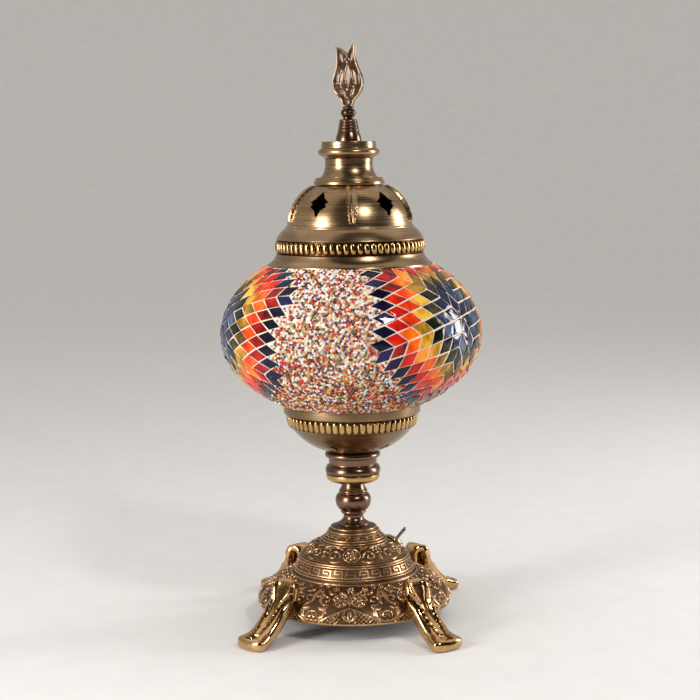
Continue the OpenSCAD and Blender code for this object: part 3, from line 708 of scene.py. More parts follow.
def skirt_motif(x, y):
    """Lattice arches along the foot with a bud in each, flowers over them and scrolls between."""
    u = np.abs(x)
    strokes = [stroke([(0, 1.3), (24, 1.3)], 0.8)] + lattice_arch(16.5, 2.2, 9.4, 2.5)
    strokes += [leaf(0, 2.6, 0, 10.4, 0, 1.5), leaf(0.6, 3.2, 3.0, 9.0, -1.1, 1.0)]
    strokes += flower(5.6, 17.6, 4.0, 8) + [spiral(5.6, 17.6, 0, 360, 4.8, 4.8, 0.42)]
    strokes += [spiral(19.6, 6.4, -160, 300, 4.0, 0.9, 0.72), leaf(16.4, 3.2, 14.6, 12.6, 1.6, 1.4)]
    strokes += [spiral(14.6, 17.4, -110, 290, 4.2, 0.9, 0.7), leaf(18.6, 11.6, 12.4, 12.2, 1.4, 1.2)]
    strokes += [spiral(20.8, 21.0, 200, -220, 3.6, 0.8, 0.62), leaf(18.8, 14.2, 20.2, 27.6, 1.3, 1.3)]
    strokes += [leaf(22.6, 11.2, 22.6, 17.0, 0.0, 1.2), leaf(9.4, 22.6, 15.6, 26.4, -1.2, 1.4)]
    strokes += [leaf(0, 23.4, 0, 12.6, 0, 1.2), leaf(1.0, 23.2, 8.0, 25.6, -0.8, 1.2)]
    strokes += flower(10.6, 27.4, 2.2, 6, 20) + flower(0, 26.8, 2.4, 6) + flower(17.4, 29.4, 1.8, 6)
    strokes += [stroke([(0, 31.6), (24, 31.6)], 0.6)]
    return np.clip(1.25 * height_of(u, y, strokes), 0, 1)


def dome_motif(x, y):
    """Large flowers in rings of leaf scroll."""
    u = np.abs(x)
    top = DOME_LENGTH - 0.8
    strokes = [stroke([(0, 0.5), (19, 0.5)], 0.5), stroke([(0, top), (19, top)], 0.6)]
    strokes += flower(0, 7.6, 3.7, 8)
    strokes += [[(5.2 * math.cos(math.radians(a)), 7.6 + 5.2 * math.sin(math.radians(a)), 0.42)
                 for a in range(-90, 91, 10)]]
    strokes += [spiral(11.0, 6.4, 190, -230, 4.2, 0.8, 0.68), leaf(6.0, 11.6, 11.8, 13.4, 1.2, 1.2)]
    strokes += [leaf(6.2, 2.4, 12.6, 2.0, -0.7, 1.0), spiral(15.9, 10.6, -100, 250, 2.6, 0.6, 0.55)]
    strokes += [leaf(17.8, 2.2, 17.8, 8.6, 0.0, 1.2), leaf(13.2, 12.6, 17.6, 14.2, 0.4, 0.9)]
    return height_of(u, y, strokes)


def key_fret(period, low, high, width):
    """Running Greek key between two heights, as one motif a period long."""
    middle, riser, hook = (high + low) / 2, 0.325 * period, -0.30 * period
    line = [(-period / 2, low), (riser, low), (riser, high), (hook, high), (hook, middle),
            (0.08 * period, middle)]
    return [stroke(line, width), stroke([(riser, low), (period / 2, low)], width)]


def fret_band(x, y, fret, rims):
    """Flat-topped key between round rims, each rim a (height, half width)."""
    key = np.clip(1.9 * height_of(x, y, fret), 0, 1)
    return np.maximum(key, height_of(x, y, [stroke([(-6, up), (6, up)], width) for up, width in rims]))


def key_motif(x, y):
    return fret_band(x, y, key_fret(8.0, 2.4, 6.9, 0.56), ((0.7, 0.7), (8.5, 0.75), (10.3, 0.6)))


def crown_motif(x, y):
    return fret_band(x, y, key_fret(6.4, 3.5, 7.1, 0.44), ((1.4, 0.65), (8.8, 0.6), (11.6, 0.5)))


def switch_matrix():
    spot = flat_point(SWITCH_R, SWITCH_BEARING, SWITCH_Z)
    return (Matrix.Translation(Vector(spot)) @ at_bearing(SWITCH_BEARING)
            @ Matrix.Rotation(math.radians(SWITCH_TILT), 4, "Y"))


def cleared(bearing, r, z, radius):
    """Smooths the relief away round a fitting."""
    spot = flat_point(r, bearing, z)

    def holes(height, points, angle):
        x = points[:, 0, None] * np.sin(angle) - spot[0]
        y = -points[:, 0, None] * np.cos(angle) - spot[1]
        away = np.sqrt(x**2 + y**2 + (points[:, 1, None] - spot[2])**2)
        return height * np.clip((away - radius) / 1.2, 0, 1)
    return holes


def tube_cutter(matrix, radius, low, high, sides=40):
    ring = [(radius * math.cos(2 * math.pi * k / sides), radius * math.sin(2 * math.pi * k / sides))
            for k in range(sides)]
    verts, faces = prism(ring, low, high)
    return placed(verts, matrix), faces


def make_base():
    skirt = relief_band("base_skirt_relief", SKIRT_LINE, inner_line(SKIRT_LINE, 10), 8, skirt_motif, 0.8,
                        960, 0.36, ["base_shell"], cleared(BUSH_BEARING, 58, BUSH_Z, BUSH_CLEAR_R))
    across_wall = (Matrix.Translation(Vector(flat_point(48, BUSH_BEARING, BUSH_Z)))
                   @ at_bearing(BUSH_BEARING) @ Matrix.Rotation(math.pi / 2, 4, "Y"))
    cut(skirt, *tube_cutter(across_wall, BUSH_HOLE_R, 0, 24))
    relief_band("base_key_band", KEY_LINE, inner_line(KEY_LINE, 4), 29, key_motif, 0.55, 1160, 0.24)
    dome = relief_band("base_dome_relief", DOME_LINE, inner_line(DOME_LINE, 6), 5, dome_motif, 0.7, 860,
                       0.25, (), cleared(SWITCH_BEARING, SWITCH_R, SWITCH_Z, SWITCH_CLEAR_R))
    cut(dome, *tube_cutter(switch_matrix(), SWITCH_HOLE_R, -8, 4))
    relief_band("base_crown_relief", CROWN_LINE, inner_line(CROWN_LINE, 6), 18, crown_motif, 0.45, 900, 0.22)


# ---------- legs ----------

LEG_HEAD = (60.5, 30.5)
LEG_CURL = 4.0
LEG_LINE = (bezier((60.5, 30.5), (66, 26), (72, 13), (84, 6.2), 40)
            + bezier((84, 6.2), (89, 3.6), (94, 3.4), (97.4, 3.7), 16, 1))
LEG_HALF_WIDTH = 9.0
LEG_SPREAD = 40
TOE_ROUND = 6.0
SWEEP_SQUARENESS = 0.62
STRAP_LINE = ((61.0, 16.3), (64, 16.3), (68, 15.4), (73.5, 13.6))


def leg_path():
    """Middle of the ribbon: over the scroll head, then down the leg to the toe, evenly spaced."""
    start = [(58.6, 21.6), (57.3, 24.6)]
    start += [(LEG_HEAD[0] + LEG_CURL * math.cos(math.radians(a)),
               LEG_HEAD[1] + LEG_CURL * math.sin(math.radians(a))) for a in range(190, 50, -9)]
    line = np.array(LEG_LINE)
    travelled = np.linspace(0, 1, len(line))
    offset = LEG_CURL * np.clip(1 - travelled / 0.42, 0, 1)**1.5
    return walk_along(start + [tuple(p) for p in line + left_of(line) * offset[:, None]], 0.42)


def sweep(path, s, half_width, half_thick, top_shape, sides=112):
    """Loft along a path in the upright (r, z) plane. top_shape(x, t) lowers the outer face in mm."""
    normal = left_of(path)
    turn = np.arange(sides) * 2 * math.pi / sides
    cx, cy = np.cos(turn), np.sin(turn)
    across = np.sign(cx) * np.abs(cx)**SWEEP_SQUARENESS
    up = np.sign(cy) * np.abs(cy)**SWEEP_SQUARENESS
    verts, shade = [], []
    for i in range(len(path)):
        t = s[i] / s[-1]
        drop = np.where(up > 0, top_shape(across, t) * np.clip(up * 1.6, 0, 1), 0)
        rise = up * half_thick[i] - np.minimum(drop, 1.7 * half_thick[i])
        point = path[i] + normal[i] * rise[:, None]
        verts.append(np.stack([point[:, 0], across * half_width[i], np.maximum(point[:, 1], 0)], 1))
        shade.append(np.clip(1 - drop / 3.0, 0, 1))
    verts, shade = np.concatenate(verts), np.concatenate(shade)
    faces = ring_faces(len(path), sides, closed=False, turned=True)
    faces += [tuple(range(sides)), tuple(range(len(verts) - 1, len(verts) - 1 - sides, -1))]
    return verts, faces, shade


def leg_groove(x, t):
    """Hooded spoon whose tongue narrows down to the toe, between two side ridges that start at a ledge."""
    x = np.abs(x)
    tongue = np.interp(t, [0.30, 0.42, 0.93], [0.98, 0.56, 0.08])
    ridged = np.clip((t - 0.33) / 0.04, 0, 1) * np.clip((0.97 - t) / 0.04, 0, 1)
    groove = 3.4 * ridged * np.clip(1 - ((x - tongue - 0.11) / 0.12)**2, 0, 1)
    ledge = 3.8 * np.clip((t - 0.33) / 0.02, 0, 1) * np.clip(1 - (t - 0.36) / 0.14, 0, 1)
    spoon = 2.8 * np.clip((t - 0.235) / 0.04, 0, 1) * np.clip((0.72 - t) / 0.3, 0, 1)
    return np.maximum.reduce([groove, ledge * np.clip((x - tongue) / 0.06, 0, 1),
                              spoon * np.clip(1 - (x / (tongue * 0.8))**4, 0, 1)])


def leg_parts():
    """The cast ribbon of a leg, and the strap behind it that meets the base's wall."""
    path, s = leg_path()
    t = s / s[-1]
    thick = np.interp(t, [0, 0.16, 0.26, 0.45, 0.7, 1], [1.8, 2.4, 3.2, 4.9, 4.8, 3.8])
    width = LEG_HALF_WIDTH * np.interp(t, [0, 0.12, 0.2, 0.235, 0.27, 0.34, 0.55, 0.8, 0.93, 1],
                                       [0.45, 0.52, 0.62, 0.76, 0.92, 1, 0.92, 0.98, 1.25, 1.34])
    toe = np.clip(1 - (s[-1] - s) / TOE_ROUND, 0, 0.985)
    curl = np.clip(1 - s / 2.5, 0, 0.985)
    width = width * np.sqrt(1 - toe**2.4) * np.sqrt(1 - curl**2)
    thick = thick * np.sqrt(1 - toe**4) * np.sqrt(1 - curl**2)
    ribbon = sweep(path, s, width, thick, leg_groove)
    strap_path, strap_s = walk_along(STRAP_LINE, 0.5)
    u = strap_s / strap_s[-1]
    lip = np.clip(1 - np.minimum(u, 1 - u) / 0.12, 0, 0.98)
    strap = sweep(strap_path, strap_s, (3.9 - 0.5 * u) * np.sqrt(1 - lip**2.5) + 0.1,
                  (4.3 - 1.2 * u) * np.sqrt(1 - lip**2.5) + 0.1,
                  lambda x, t: 0.7 * np.clip(1 - (x / 0.6)**2, 0, 1) + 0 * t, 40)
    return ribbon, strap


def make_legs():
    ribbon, strap = leg_parts()
    verts, faces = joined([ribbon[:2], strap[:2]])
    faces = outward(verts, faces)
    shade = np.concatenate([ribbon[2], strap[2]])
    for name, bearing in (("front_left", -LEG_SPREAD), ("front_right", LEG_SPREAD),
                          ("rear_left", LEG_SPREAD - 180), ("rear_right", 180 - LEG_SPREAD)):
        make_piece("leg_" + name + "_cast", placed(verts, at_bearing(bearing)), faces,
                   MATERIALS["polished_brass"], "root", ["leg_" + name], shade, 50)


# ---------- stem, cup and cap: turned and spun metal ----------

def make_turned():
    """Solid turned pieces, as outlines from the bore outwards and up."""
    tube = 5.1
    stud = 2.1
    stem = ([(tube, 61.85), (10.5, 61.85), (10.5, 62.6), (9.3, 63.2)]
            + bezier((9.3, 63.2), (7.6, 64.4), (6.4, 65.6), (6.4, 67.3), 12, 1)
            + [(6.6, 68.6), (8, 69.4), (8.2, 70.2), (7.9, 70.9), (8.9, 71.6)]
            + bezier((8.9, 71.6), (12.2, 74.4), (12.4, 80.6), (9.4, 82.2), 24, 1)
            + [(8.7, 82.6), (9.2, 83.4), (9.1, 84.2)]
            + bezier((9.1, 84.2), (8.0, 85.4), (7.2, 87), (7, 89.5), 8, 1) + [(tube, 89.5)])
    lip = ([(tube, 89.55), (11, 89.55)] + bezier((11, 89.55), (14.6, 89.9), (17.1, 91.4), (17.2, 93.2), 14, 1)
           + [(17.2, 95.2), (tube, 95.2)])
    neck = ([(tube, 95.25), (16.6, 95.25)]
            + bezier((16.6, 95.25), (18.4, 96), (18.2, 99.6), (15.9, 101.2), 16, 1)
            + [(15.4, 101.8), (15.6, 104.6), (16, 106.2)] + arc((15.9, 107.8), 2, -60, 60, 12)
            + [(15.4, 110.5), (tube, 110.5)])
    flange = [(stud, 280.35), (22.4, 280.35), (22.4, 282), (21.6, 283.2), (21.4, 283.8), (20.8, 284.8),
              (stud, 284.8)]
    upper = ([(stud, 284.85), (18, 284.85)]
             + bezier((18, 284.85), (16.2, 287.4), (15, 290), (15, 293.4), 14, 1)
             + [(15.3, 296.6), (stud, 296.6)])
    collar = ([(stud, 296.65), (15, 296.65), (16.4, 297.6)] + arc((17, 300.6), 2.4, -60, 60, 14)
              + [(17.2, 303), (17.3, 304.2), (17.0, 307.2), (stud, 307.2)])
    cone = [(stud, 307.25), (8.3, 307.25), (7.9, 310), (6.9, 313)]
    for k in range(4):
        cone += arc((6.1 - 0.35 * k, 314.2 + 1.9 * k), 0.8, -65, 65, 6)
    cone += [(5, 321), (stud, 321)]
    bead = [(stud, 321.05), (3.4, 321.05)] + arc((1.8, 325), 2.9, -60, 60, 10) + [(3.6, 329), (stud, 329)]
    rows = [("stem", stem, "dark_bronze", "root", "dark_bronze"),
            ("lip_ring", lip, "gold_rim", "root", "polished_brass"),
            ("lower_neck", neck, "dark_bronze", "root", "dark_bronze"),
            ("cap_flange", flange, "antique_brass", "cap", "antique_brass"),
            ("cap_neck", upper, "antique_brass", "cap", "antique_brass"),
            ("cap_collar", collar, "antique_brass", "cap", "antique_brass"),
            ("finial_cone", cone, "dark_bronze", "cap", "dark_bronze"),
            ("finial_bead", bead, "cast_brass", "cap", "antique_brass")]
    for node, outline, material, body, slot in rows:
        spun(node + "_turned", outline, node, MATERIALS[material], body)


def star(tall, wide):
    """Star with points up and down and a notched point on each side."""
    half = [(0, 0.5), (0.24, 0.21), (0.5, 0.06), (0.34, 0), (0.44, -0.1), (0.17, -0.25), (0, -0.5)]
    return ([(x * wide, y * tall) for x, y in half]
            + [(-x * wide, y * tall) for x, y in half[-2:0:-1]])


CUP_LINE = ([(16.0, 110.6)] + bezier((16.0, 110.6), (24, 112), (33, 117.6), (39.3, 126.4), 24, 1)
            + [(40.3, 126.9), (40.6, 134.6), (43.9, 135.4), (43.9, 141.7), (43.4, 142.3)])
CUP_VENTS, CUP_VENT_BEARING, CUP_VENT_R = 5, -22.5, 27.5
SPUN_WALL = 1.2


def cut_stars(obj, count, first_bearing, shape, low, high, place):
    """Cuts a star through obj at equal turns. place carries it from the axis out along local +X."""
    star_verts, star_faces = prism(shape, low, high)
    cut(obj, *joined([(placed(star_verts, at_bearing(first_bearing + k * 360 / count) @ place), star_faces)
                      for k in range(count)]))


def make_cup():
    outline = wall(rounded(CUP_LINE, 0.5, closed=False), SPUN_WALL)
    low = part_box("cup_shell")[0].z / MM
    outline = [p for p in outline if p[1] > low + 0.05 or p[0] > 15.9]
    outline = [(BORE, low + SPUN_WALL), (BORE, low)] + outline
    verts, faces = revolve(outline, 360)
    cup = make_piece("cup_spun", verts, faces, MATERIALS["cup_brass"], "root",
                     ["cup_shell"])
    cut_stars(cup, CUP_VENTS, CUP_VENT_BEARING, star(8, 9.5), low - 2, low + 10,
              Matrix.Translation((CUP_VENT_R, 0, 0)) @ Matrix.Rotation(math.pi / 2, 4, "Z"))


DOME_STARS, DOME_STAR_BEARING, DOME_RIB_BEARING = 5, 42.5, 5.5
DOME_STAR_AT, DOME_STAR_TILT = (34.6, 0, 268.8), 58
RIB_LOW, RIB_HIGH, RIB_LIFT = 257.0, 279.8, 1.9
CAP_STEPS = 720
CAP_LINE = ([(52, 230), (51.9, 230.5)] + bezier((51.7, 231), (49, 232.5), (47.6, 235), (46.9, 237.4), 12, 0)
            + [(45.4, 237.8), (45.4, 245.9), (46.8, 246.3)]
            + bezier((46.8, 246.3), (45.4, 249), (43, 252.4), (40.6, 253.7), 12, 1) + [(40.6, 254.3)]
            + bezier((39.8, 254.9), (38.6, 266), (33, 276.5), (22, 279.9), 64, 0)
            + [(6, 280.3), (2.3, 280.3)])


def rib_height(bearing, z):
    """Embossed leaf rib: two raised edges with a crease between them, narrowing downwards."""
    away = (bearing - DOME_RIB_BEARING + 36) % 72 - 36
    t = np.clip((z - RIB_LOW) / 22.5, 0, 1)
    half = 1.5 + 1.7 * t
    u = np.abs(np.radians(away)) * (41 - 9 * t) / half
    ends = np.sqrt(np.clip((z - RIB_LOW) / 1.6, 0, 1)) * np.clip((RIB_HIGH - z) / 0.8, 0, 1)
    return RIB_LIFT * ends * np.clip((1.3 - u) / 0.35, 0, 1) * (0.05 + 0.95 * np.clip(u, 0, 1)**1.6)


def make_cap():
    outline = wall(rounded(CAP_LINE, 0.45, closed=False), SPUN_WALL)
    verts, faces = revolve(outline, CAP_STEPS)
    outer = verts.reshape(len(outline), CAP_STEPS, 3)[:len(outline) // 2]
    x, y, z = np.moveaxis(outer, 2, 0)
    lift = rib_height(np.degrees(np.arctan2(x, -y)), z)
    slope = np.clip((z - 250) / 34, 0, 1)
    grown = 1 + lift * (1 - slope**2) / np.hypot(x, y)
    outer[:, :, 0] *= grown
    outer[:, :, 1] *= grown
    outer[:, :, 2] += lift * slope * 0.7
    cap = make_piece("cap_dome_spun", verts, faces, MATERIALS["antique_brass"], "cap",
                     ["cap_dome"])
    cut_stars(cap, DOME_STARS, DOME_STAR_BEARING, star(19, 13.4), -9, 9,
              Matrix.Translation(DOME_STAR_AT) @ Matrix.Rotation(math.radians(DOME_STAR_TILT), 4, "Y")
              @ Matrix.Rotation(math.pi / 2, 4, "Z"))


def pillow(half, power=2.4, across=14, up=12):
    """Rounded lozenge with half sizes (radial, tangential, upright), as points and quads."""
    verts = []
    for j in range(up + 1):
        b = math.pi * (j / up - 0.5)
        for i in range(across):
            a = 2 * math.pi * i / across
            ring = abs(math.cos(b))**(2 / power)
            verts.append((half[0] * ring * math.copysign(abs(math.cos(a))**(2 / power), math.cos(a)),
                          half[1] * ring * math.copysign(abs(math.sin(a))**(2 / power), math.sin(a)),
                          half[2] * math.copysign(abs(math.sin(b))**(2 / power), math.sin(b))))
    faces = ring_faces(up + 1, across, closed=False)
    faces += [tuple(range(across))[::-1], tuple(up * across + i for i in range(across))]
    return np.array(verts), faces


def gadroon(name, node, count, radius, half, lean, floor, body):
    """Strip of beads standing on a floor band. The band's dark tone and each bead's darkening towards it are
    painted shade in the gaps between the beads. radius is (bottom, top) of the beads' middles.
    """
    bead_verts, bead_faces = pillow(half)
    low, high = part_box(node)
    middle = (low.z + high.z) / 2 / MM
    tilt = Matrix.Rotation(math.atan2(radius[1] - radius[0], 2 * half[2]), 4, "Y")
    parts, shade = [], []
    for k in range(count):
        where = (at_bearing(360 * k / count) @ Matrix.Translation(((radius[0] + radius[1]) / 2, 0, middle))
                 @ tilt @ Matrix.Rotation(math.radians(lean), 4, "X"))
        parts.append((placed(bead_verts, where), bead_faces))
        # Painted shade: each bead's flanks darken towards the band it stands on
        shade += list(np.clip(0.25 + 0.8 * (bead_verts[:, 0] / half[0]), 0, 1))
    foot, top = low.z / MM, high.z / MM
    strip, strip_faces = revolve([(floor[0] - 0.5, foot), (floor[0], foot), (floor[1], top),
                                  (floor[1] - 0.5, top)], 360)
    parts.append((strip, strip_faces))
    # Painted shade: the band between the beads gets the darkest tone
    shade += [0.0] * len(strip)
    verts, faces = joined(parts)
    make_piece(name, verts, faces, MATERIALS["strip_brass"], body, [node], shade, 60)


# ---------- tulip ----------

def tulip_outline():
    """Outline of the casting: a bellied body with two pointed petals and a notch between them."""
    foot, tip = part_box("tulip_finial")[0].z / MM, LAMP_H
    right = (bezier((3.3, foot), (3.0, 331.5), (4.4, 333), (6.2, 335), 6)
             + bezier((6.2, 335), (10.6, 339), (11.2, 345), (8.6, 350), 12, 1)
             + bezier((8.6, 350), (6.2, 355), (4.0, 361), (4.9, tip), 12, 1)
             + bezier((4.9, tip), (2.8, 367.2), (1.2, 364.2), (-0.2, 361.2), 8, 1))
    left = (bezier((-0.2, 361.2), (-2.2, 363.4), (-4.6, 365.2), (-7.4, tip - 2.0), 8, 1)
            + bezier((-7.4, tip - 2.0), (-6.4, 360), (-6.6, 355), (-8.4, 350), 12, 1)
            + bezier((-8.4, 350), (-11.0, 345), (-10.4, 339), (-6.2, 335), 12, 1)
            + bezier((-6.2, 335), (-4.4, 333), (-3.0, 331.5), (-3.3, foot), 6, 1))
    return right + left


def leaf_hole(x, low, high, wide, lean=0.0):
    """Closed pointed oval, leaning sideways by lean over its height."""
    side = [(wide * math.sin(math.pi * t)**0.8, t) for t in np.linspace(0, 1, 11)]
    rows = [(x + w + lean * (t - 0.5), low + (high - low) * t) for w, t in side]
    return rows + [(x - w + lean * (t - 0.5), low + (high - low) * t) for w, t in side[-2:0:-1]]


TULIP_HOLES = [leaf_hole(0, 341.6, 354.4, 1.5), leaf_hole(-4.3, 342.6, 351.6, 1.15, 1.6),
               leaf_hole(4.3, 342.6, 351.6, 1.15, -1.6), leaf_hole(-2.9, 335.4, 339.8, 0.9, -1.8),
               leaf_hole(2.9, 335.4, 339.8, 0.9, 1.8), leaf_hole(-6.9, 343.5, 349.5, 0.5, 0.6),
               leaf_hole(6.9, 343.5, 349.5, 0.5, -0.6), leaf_hole(0, 330.6, 332.8, 0.75),
               leaf_hole(2.7, 357.2, 363.2, 0.7, 1.3), leaf_hole(-4.2, 356.6, 362.0, 0.75, -1.6)]


def flat_curve(name, outlines, half_thick, bevel):
    """Mesh of a filled plate with holes and rounded edges, in the x, z plane."""
    curve = bpy.data.curves.new(name, "CURVE")
    curve.dimensions = "2D"
    curve.fill_mode = "BOTH"
    curve.extrude = half_thick - bevel
    curve.bevel_depth = bevel
    curve.bevel_resolution = 4
    curve.offset = -bevel
    for outline in outlines:
        spline = curve.splines.new("POLY")
        spline.points.add(len(outline) - 1)
        for point, (x, y) in zip(spline.points, outline):
            point.co = (x, y, 0, 1)
        spline.use_cyclic_u = True
    obj = linked(name, curve)
    mesh = evaluated_mesh(obj)
    verts = np.array([v.co for v in mesh.vertices])
    faces = [tuple(f.vertices) for f in mesh.polygons]
    bpy.data.objects.remove(obj)
    bpy.data.curves.remove(curve)
    bpy.data.meshes.remove(mesh)
    return np.stack([verts[:, 0], -verts[:, 2], verts[:, 1]], 1), faces


def cord_round(outline, y, radius, sides=8):
    """Closed round rim that follows an outline in the x, z plane at depth y."""
    points = np.array(outline)
    along = np.roll(points, -1, 0) - np.roll(points, 1, 0)
    along /= np.linalg.norm(along, axis=1)[:, None]
    normal = np.stack([along[:, 1], -along[:, 0]], 1)
    turn = np.arange(sides) * 2 * math.pi / sides
    wide = points[:, None] + radius * np.cos(turn)[None, :, None] * normal[:, None]
    verts = np.stack([wide[..., 0], np.full(wide.shape[:2], y) + radius * np.sin(turn), wide[..., 1]], 2)
    return verts.reshape(-1, 3), ring_faces(len(points), sides)


# Beads on both faces of the casting, each an (x, z, size)
TULIP_BEADS = ((0, 356.6, 1.0), (-1.3, 358.2, 0.8), (1.3, 358.2, 0.8), (0, 339.6, 1.15),
               (-3.9, 341.2, 0.9), (3.9, 341.2, 0.9), (0, 334.6, 0.9), (0, 359.6, 0.7))
TULIP_CENTRE = (-0.2, 346.0)
TULIP_TURN = -12


def make_tulip():
    outline = tulip_outline()
    plate, plate_faces = flat_curve("tulip_plate", [outline] + TULIP_HOLES, 1.3, 0.5)
    parts = [(plate, plate_faces)]
    shade = [0.35] * len(plate)
    centre = np.array(TULIP_CENTRE)
    inset = centre + (np.array(outline) - centre) * np.array([0.93, 0.975])
    ball, ball_faces = pillow((1.0, 0.7, 1.0), 2.0, 14, 10)
    for y in (-1.15, 1.15):
        rims = [cord_round(inset, y, 0.52)]
        rims += [cord_round(hole, y, 0.36) for hole in TULIP_HOLES[:5]]
        rims += [(ball * np.array([size, 1, size]) + np.array([x, y, z]), ball_faces)
                 for x, z, size in TULIP_BEADS]
        for verts, faces in rims:
            parts.append((verts, faces))
            shade += [1.0] * len(verts)
    verts, faces = joined(parts)
    turn = Matrix.Rotation(math.radians(TULIP_TURN), 4, "Z")
    make_piece("tulip_openwork", placed(verts, turn), outward(verts, faces), MATERIALS["cast_brass"], "cap",
               ["tulip_finial"], shade, 50)


# ---------- switch ----------

LEVER_PIVOT, LEVER_LEAN = -2.6, 12.5


def make_switch():
    seat = switch_matrix()
    nut = [(3.05, 0.6), (6.3, 0.6), (6.4, 1.0), (6.0, 1.7), (5.5, 1.95), (5.1, 1.75), (4.7, 1.75),
           (4.5, 2.1), (4.3, 2.5), (3.05, 2.5)]
    verts, faces = revolve(rounded(nut, 0.25), 96)
    make_piece("switch_bezel_nut", placed(verts, seat), faces, MATERIALS["gold_rim"], "root",
               ["switch_nut"])
    lever = ([(0.05, -1.6)] + arc((0, 0), 1.66, -70, 58, 12)
             + [(0.88, 1.9), (0.9, 2.6), (1.02, 8), (1.12, 12.2)] + arc((0, 13.1), 1.15, -15, 88, 8))
    lever = [(max(r, 0.05), z) for r, z in lever]
    verts, faces = revolve(lever, 40)
    where = (seat @ Matrix.Translation((0, 0, LEVER_PIVOT))
             @ Matrix.Rotation(math.radians(LEVER_LEAN), 4, "Y"))
    make_piece("switch_bat_lever", placed(verts, where), faces, MATERIALS["dark_steel"], "toggle",
               ["switch_lever"])


# ---------- globe ----------

GLOBE_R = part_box("bead_bed")[1].x / MM
GLOBE_Z, GLOBE_UP, GLOBE_DOWN = 185.5, 57.5, 52.0
GLOBE_CENTRE = np.array([0, 0, GLOBE_Z])
MOSAIC_T = 1.8
# Each medallion's bearing, height above the widest ring and turn about its centre
MEDALLIONS = ((60, 14.3, 159), (-75, 8.8, 1), (172, 12, 12))
SECTORS, TILE_RINGS, TILE_PITCH, TILE_JOINT = 6, 7, 9.6, 0.9
SECTOR = 360 / SECTORS
TILE_FACE, TILE_T, TILE_BEVEL = 0.35, 1.5, 0.28
TILE_LOW_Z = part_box("cup_shell")[1].z / MM + 0.7
TILE_HIGH_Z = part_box("cap_dome")[0].z / MM - 0.1


def on_globe(t, bearing, lift=0.0):
    """Point at latitude parameter t and a bearing, both in radians, lifted off the surface by mm."""
    half = np.where(t > 0, GLOBE_UP, GLOBE_DOWN) + lift
    r = (GLOBE_R + lift) * np.cos(t)
    return np.stack([r * np.sin(bearing), -r * np.cos(bearing), GLOBE_Z + half * np.sin(t)], -1)


def slope(t, heading):
    """Change of latitude parameter, bearing and heading for each mm walked straight on."""
    half = GLOBE_UP if t > 0 else GLOBE_DOWN
    g = math.hypot(GLOBE_R * math.sin(t), half * math.cos(t))
    turn = math.sin(heading)
    return (math.cos(heading) / g, turn / (GLOBE_R * math.cos(t)), math.tan(t) / g * turn)


def walked(bearing, rise, x, y, steps=8):
    """Point reached from a medallion's centre by a straight walk of (x, y) mm over the globe."""
    t, az = math.asin(rise / GLOBE_UP), math.radians(bearing)
    far = math.hypot(x, y)
    heading = math.pi / 2 - math.atan2(y, x)
    for _ in range(steps if far > 0.01 else 0):
        step = far / steps
        k = slope(t, heading)
        m = slope(t + k[0] * step / 2, heading + k[2] * step / 2)
        t, az, heading = t + m[0] * step, az + m[1] * step, heading + m[2] * step
    return on_globe(np.array(t), np.array(az))


def tile_corners(medallion, sector, i, j):
    """Corners of the tile i, j steps along a sector's two sides, less the joint around it."""
    bearing, rise, turn = MEDALLIONS[medallion]
    a = math.radians(turn + (sector - 0.5) * SECTOR)
    b = a + math.radians(SECTOR)
    d = TILE_JOINT / 2 / math.sin(math.radians(SECTOR)) / TILE_PITCH
    corners = []
    for p, q in ((i + d, j + d), (i + 1 - d, j + d), (i + 1 - d, j + 1 - d), (i + d, j + 1 - d)):
        x = TILE_PITCH * (p * math.cos(a) + q * math.cos(b))
        y = TILE_PITCH * (p * math.sin(a) + q * math.sin(b))
        corners.append(walked(bearing, rise, x, y))
    return corners


def clipped(corners, z, keep_below):
    """The outline's part below or above a height."""
    sign = 1 if keep_below else -1
    made = []
    for a, b in zip(corners, corners[1:] + corners[:1]):
        inside_a, inside_b = sign * (z - a[2]) >= 0, sign * (z - b[2]) >= 0
        if inside_a:
            made.append(a)
        if inside_a != inside_b:
            made.append(a + (b - a) * (z - a[2]) / (b[2] - a[2]))
    return made


def tile_mesh(corners):
    """Cut glass tile on an outline: rounded corners, bevelled and faintly domed face."""
    corners = [np.array(c) for c in corners]
    centre = np.mean(corners, 0)
    normal = sum((np.cross(a - centre, b - centre) for a, b in zip(corners, corners[1:] + corners[:1])),
                 np.zeros(3))
    normal /= np.linalg.norm(normal)
    if normal @ (centre - GLOBE_CENTRE) < 0:
        normal = -normal
        corners = corners[::-1]
    normal = normal + rng.normal(0, 0.022, 3)
    normal /= np.linalg.norm(normal)
    ex = np.cross([0, 0, 1.0], normal)
    ex /= np.linalg.norm(ex)
    ey = np.cross(normal, ex)
    jitter = rng.normal(0, 0.16, (len(corners), 2))
    flat = [((c - centre) @ ex + j[0], (c - centre) @ ey + j[1]) for c, j in zip(corners, jitter)]
    flat = rounded(flat, 0.3, limit=5)
    flat = np.array(flat)
    middle = flat.mean(0)
    size = np.linalg.norm(flat - middle, axis=1).mean()
    lift = TILE_FACE + rng.normal(0, 0.06)
    layers = [(1.0, lift - TILE_T), (1.0, lift - TILE_BEVEL), (1 - 0.4 * TILE_BEVEL / size, lift - 0.08),
              (1 - TILE_BEVEL / size, lift), (0.5, lift + 0.07)]
    verts = []
    for scale, up in layers:
        ring = middle + (flat - middle) * scale
        verts += [centre + ex * x + ey * y + normal * up for x, y in ring]
    n = len(flat)
    verts.append(centre + ex * middle[0] + ey * middle[1] + normal * (lift + 0.09))
    faces = [tuple(range(n))[::-1]]
    faces += ring_faces(len(layers), n, closed=False)
    a = (len(layers) - 1) * n
    faces += [(a + k, a + (k + 1) % n, len(verts) - 1) for k in range(n)]
    return verts, faces


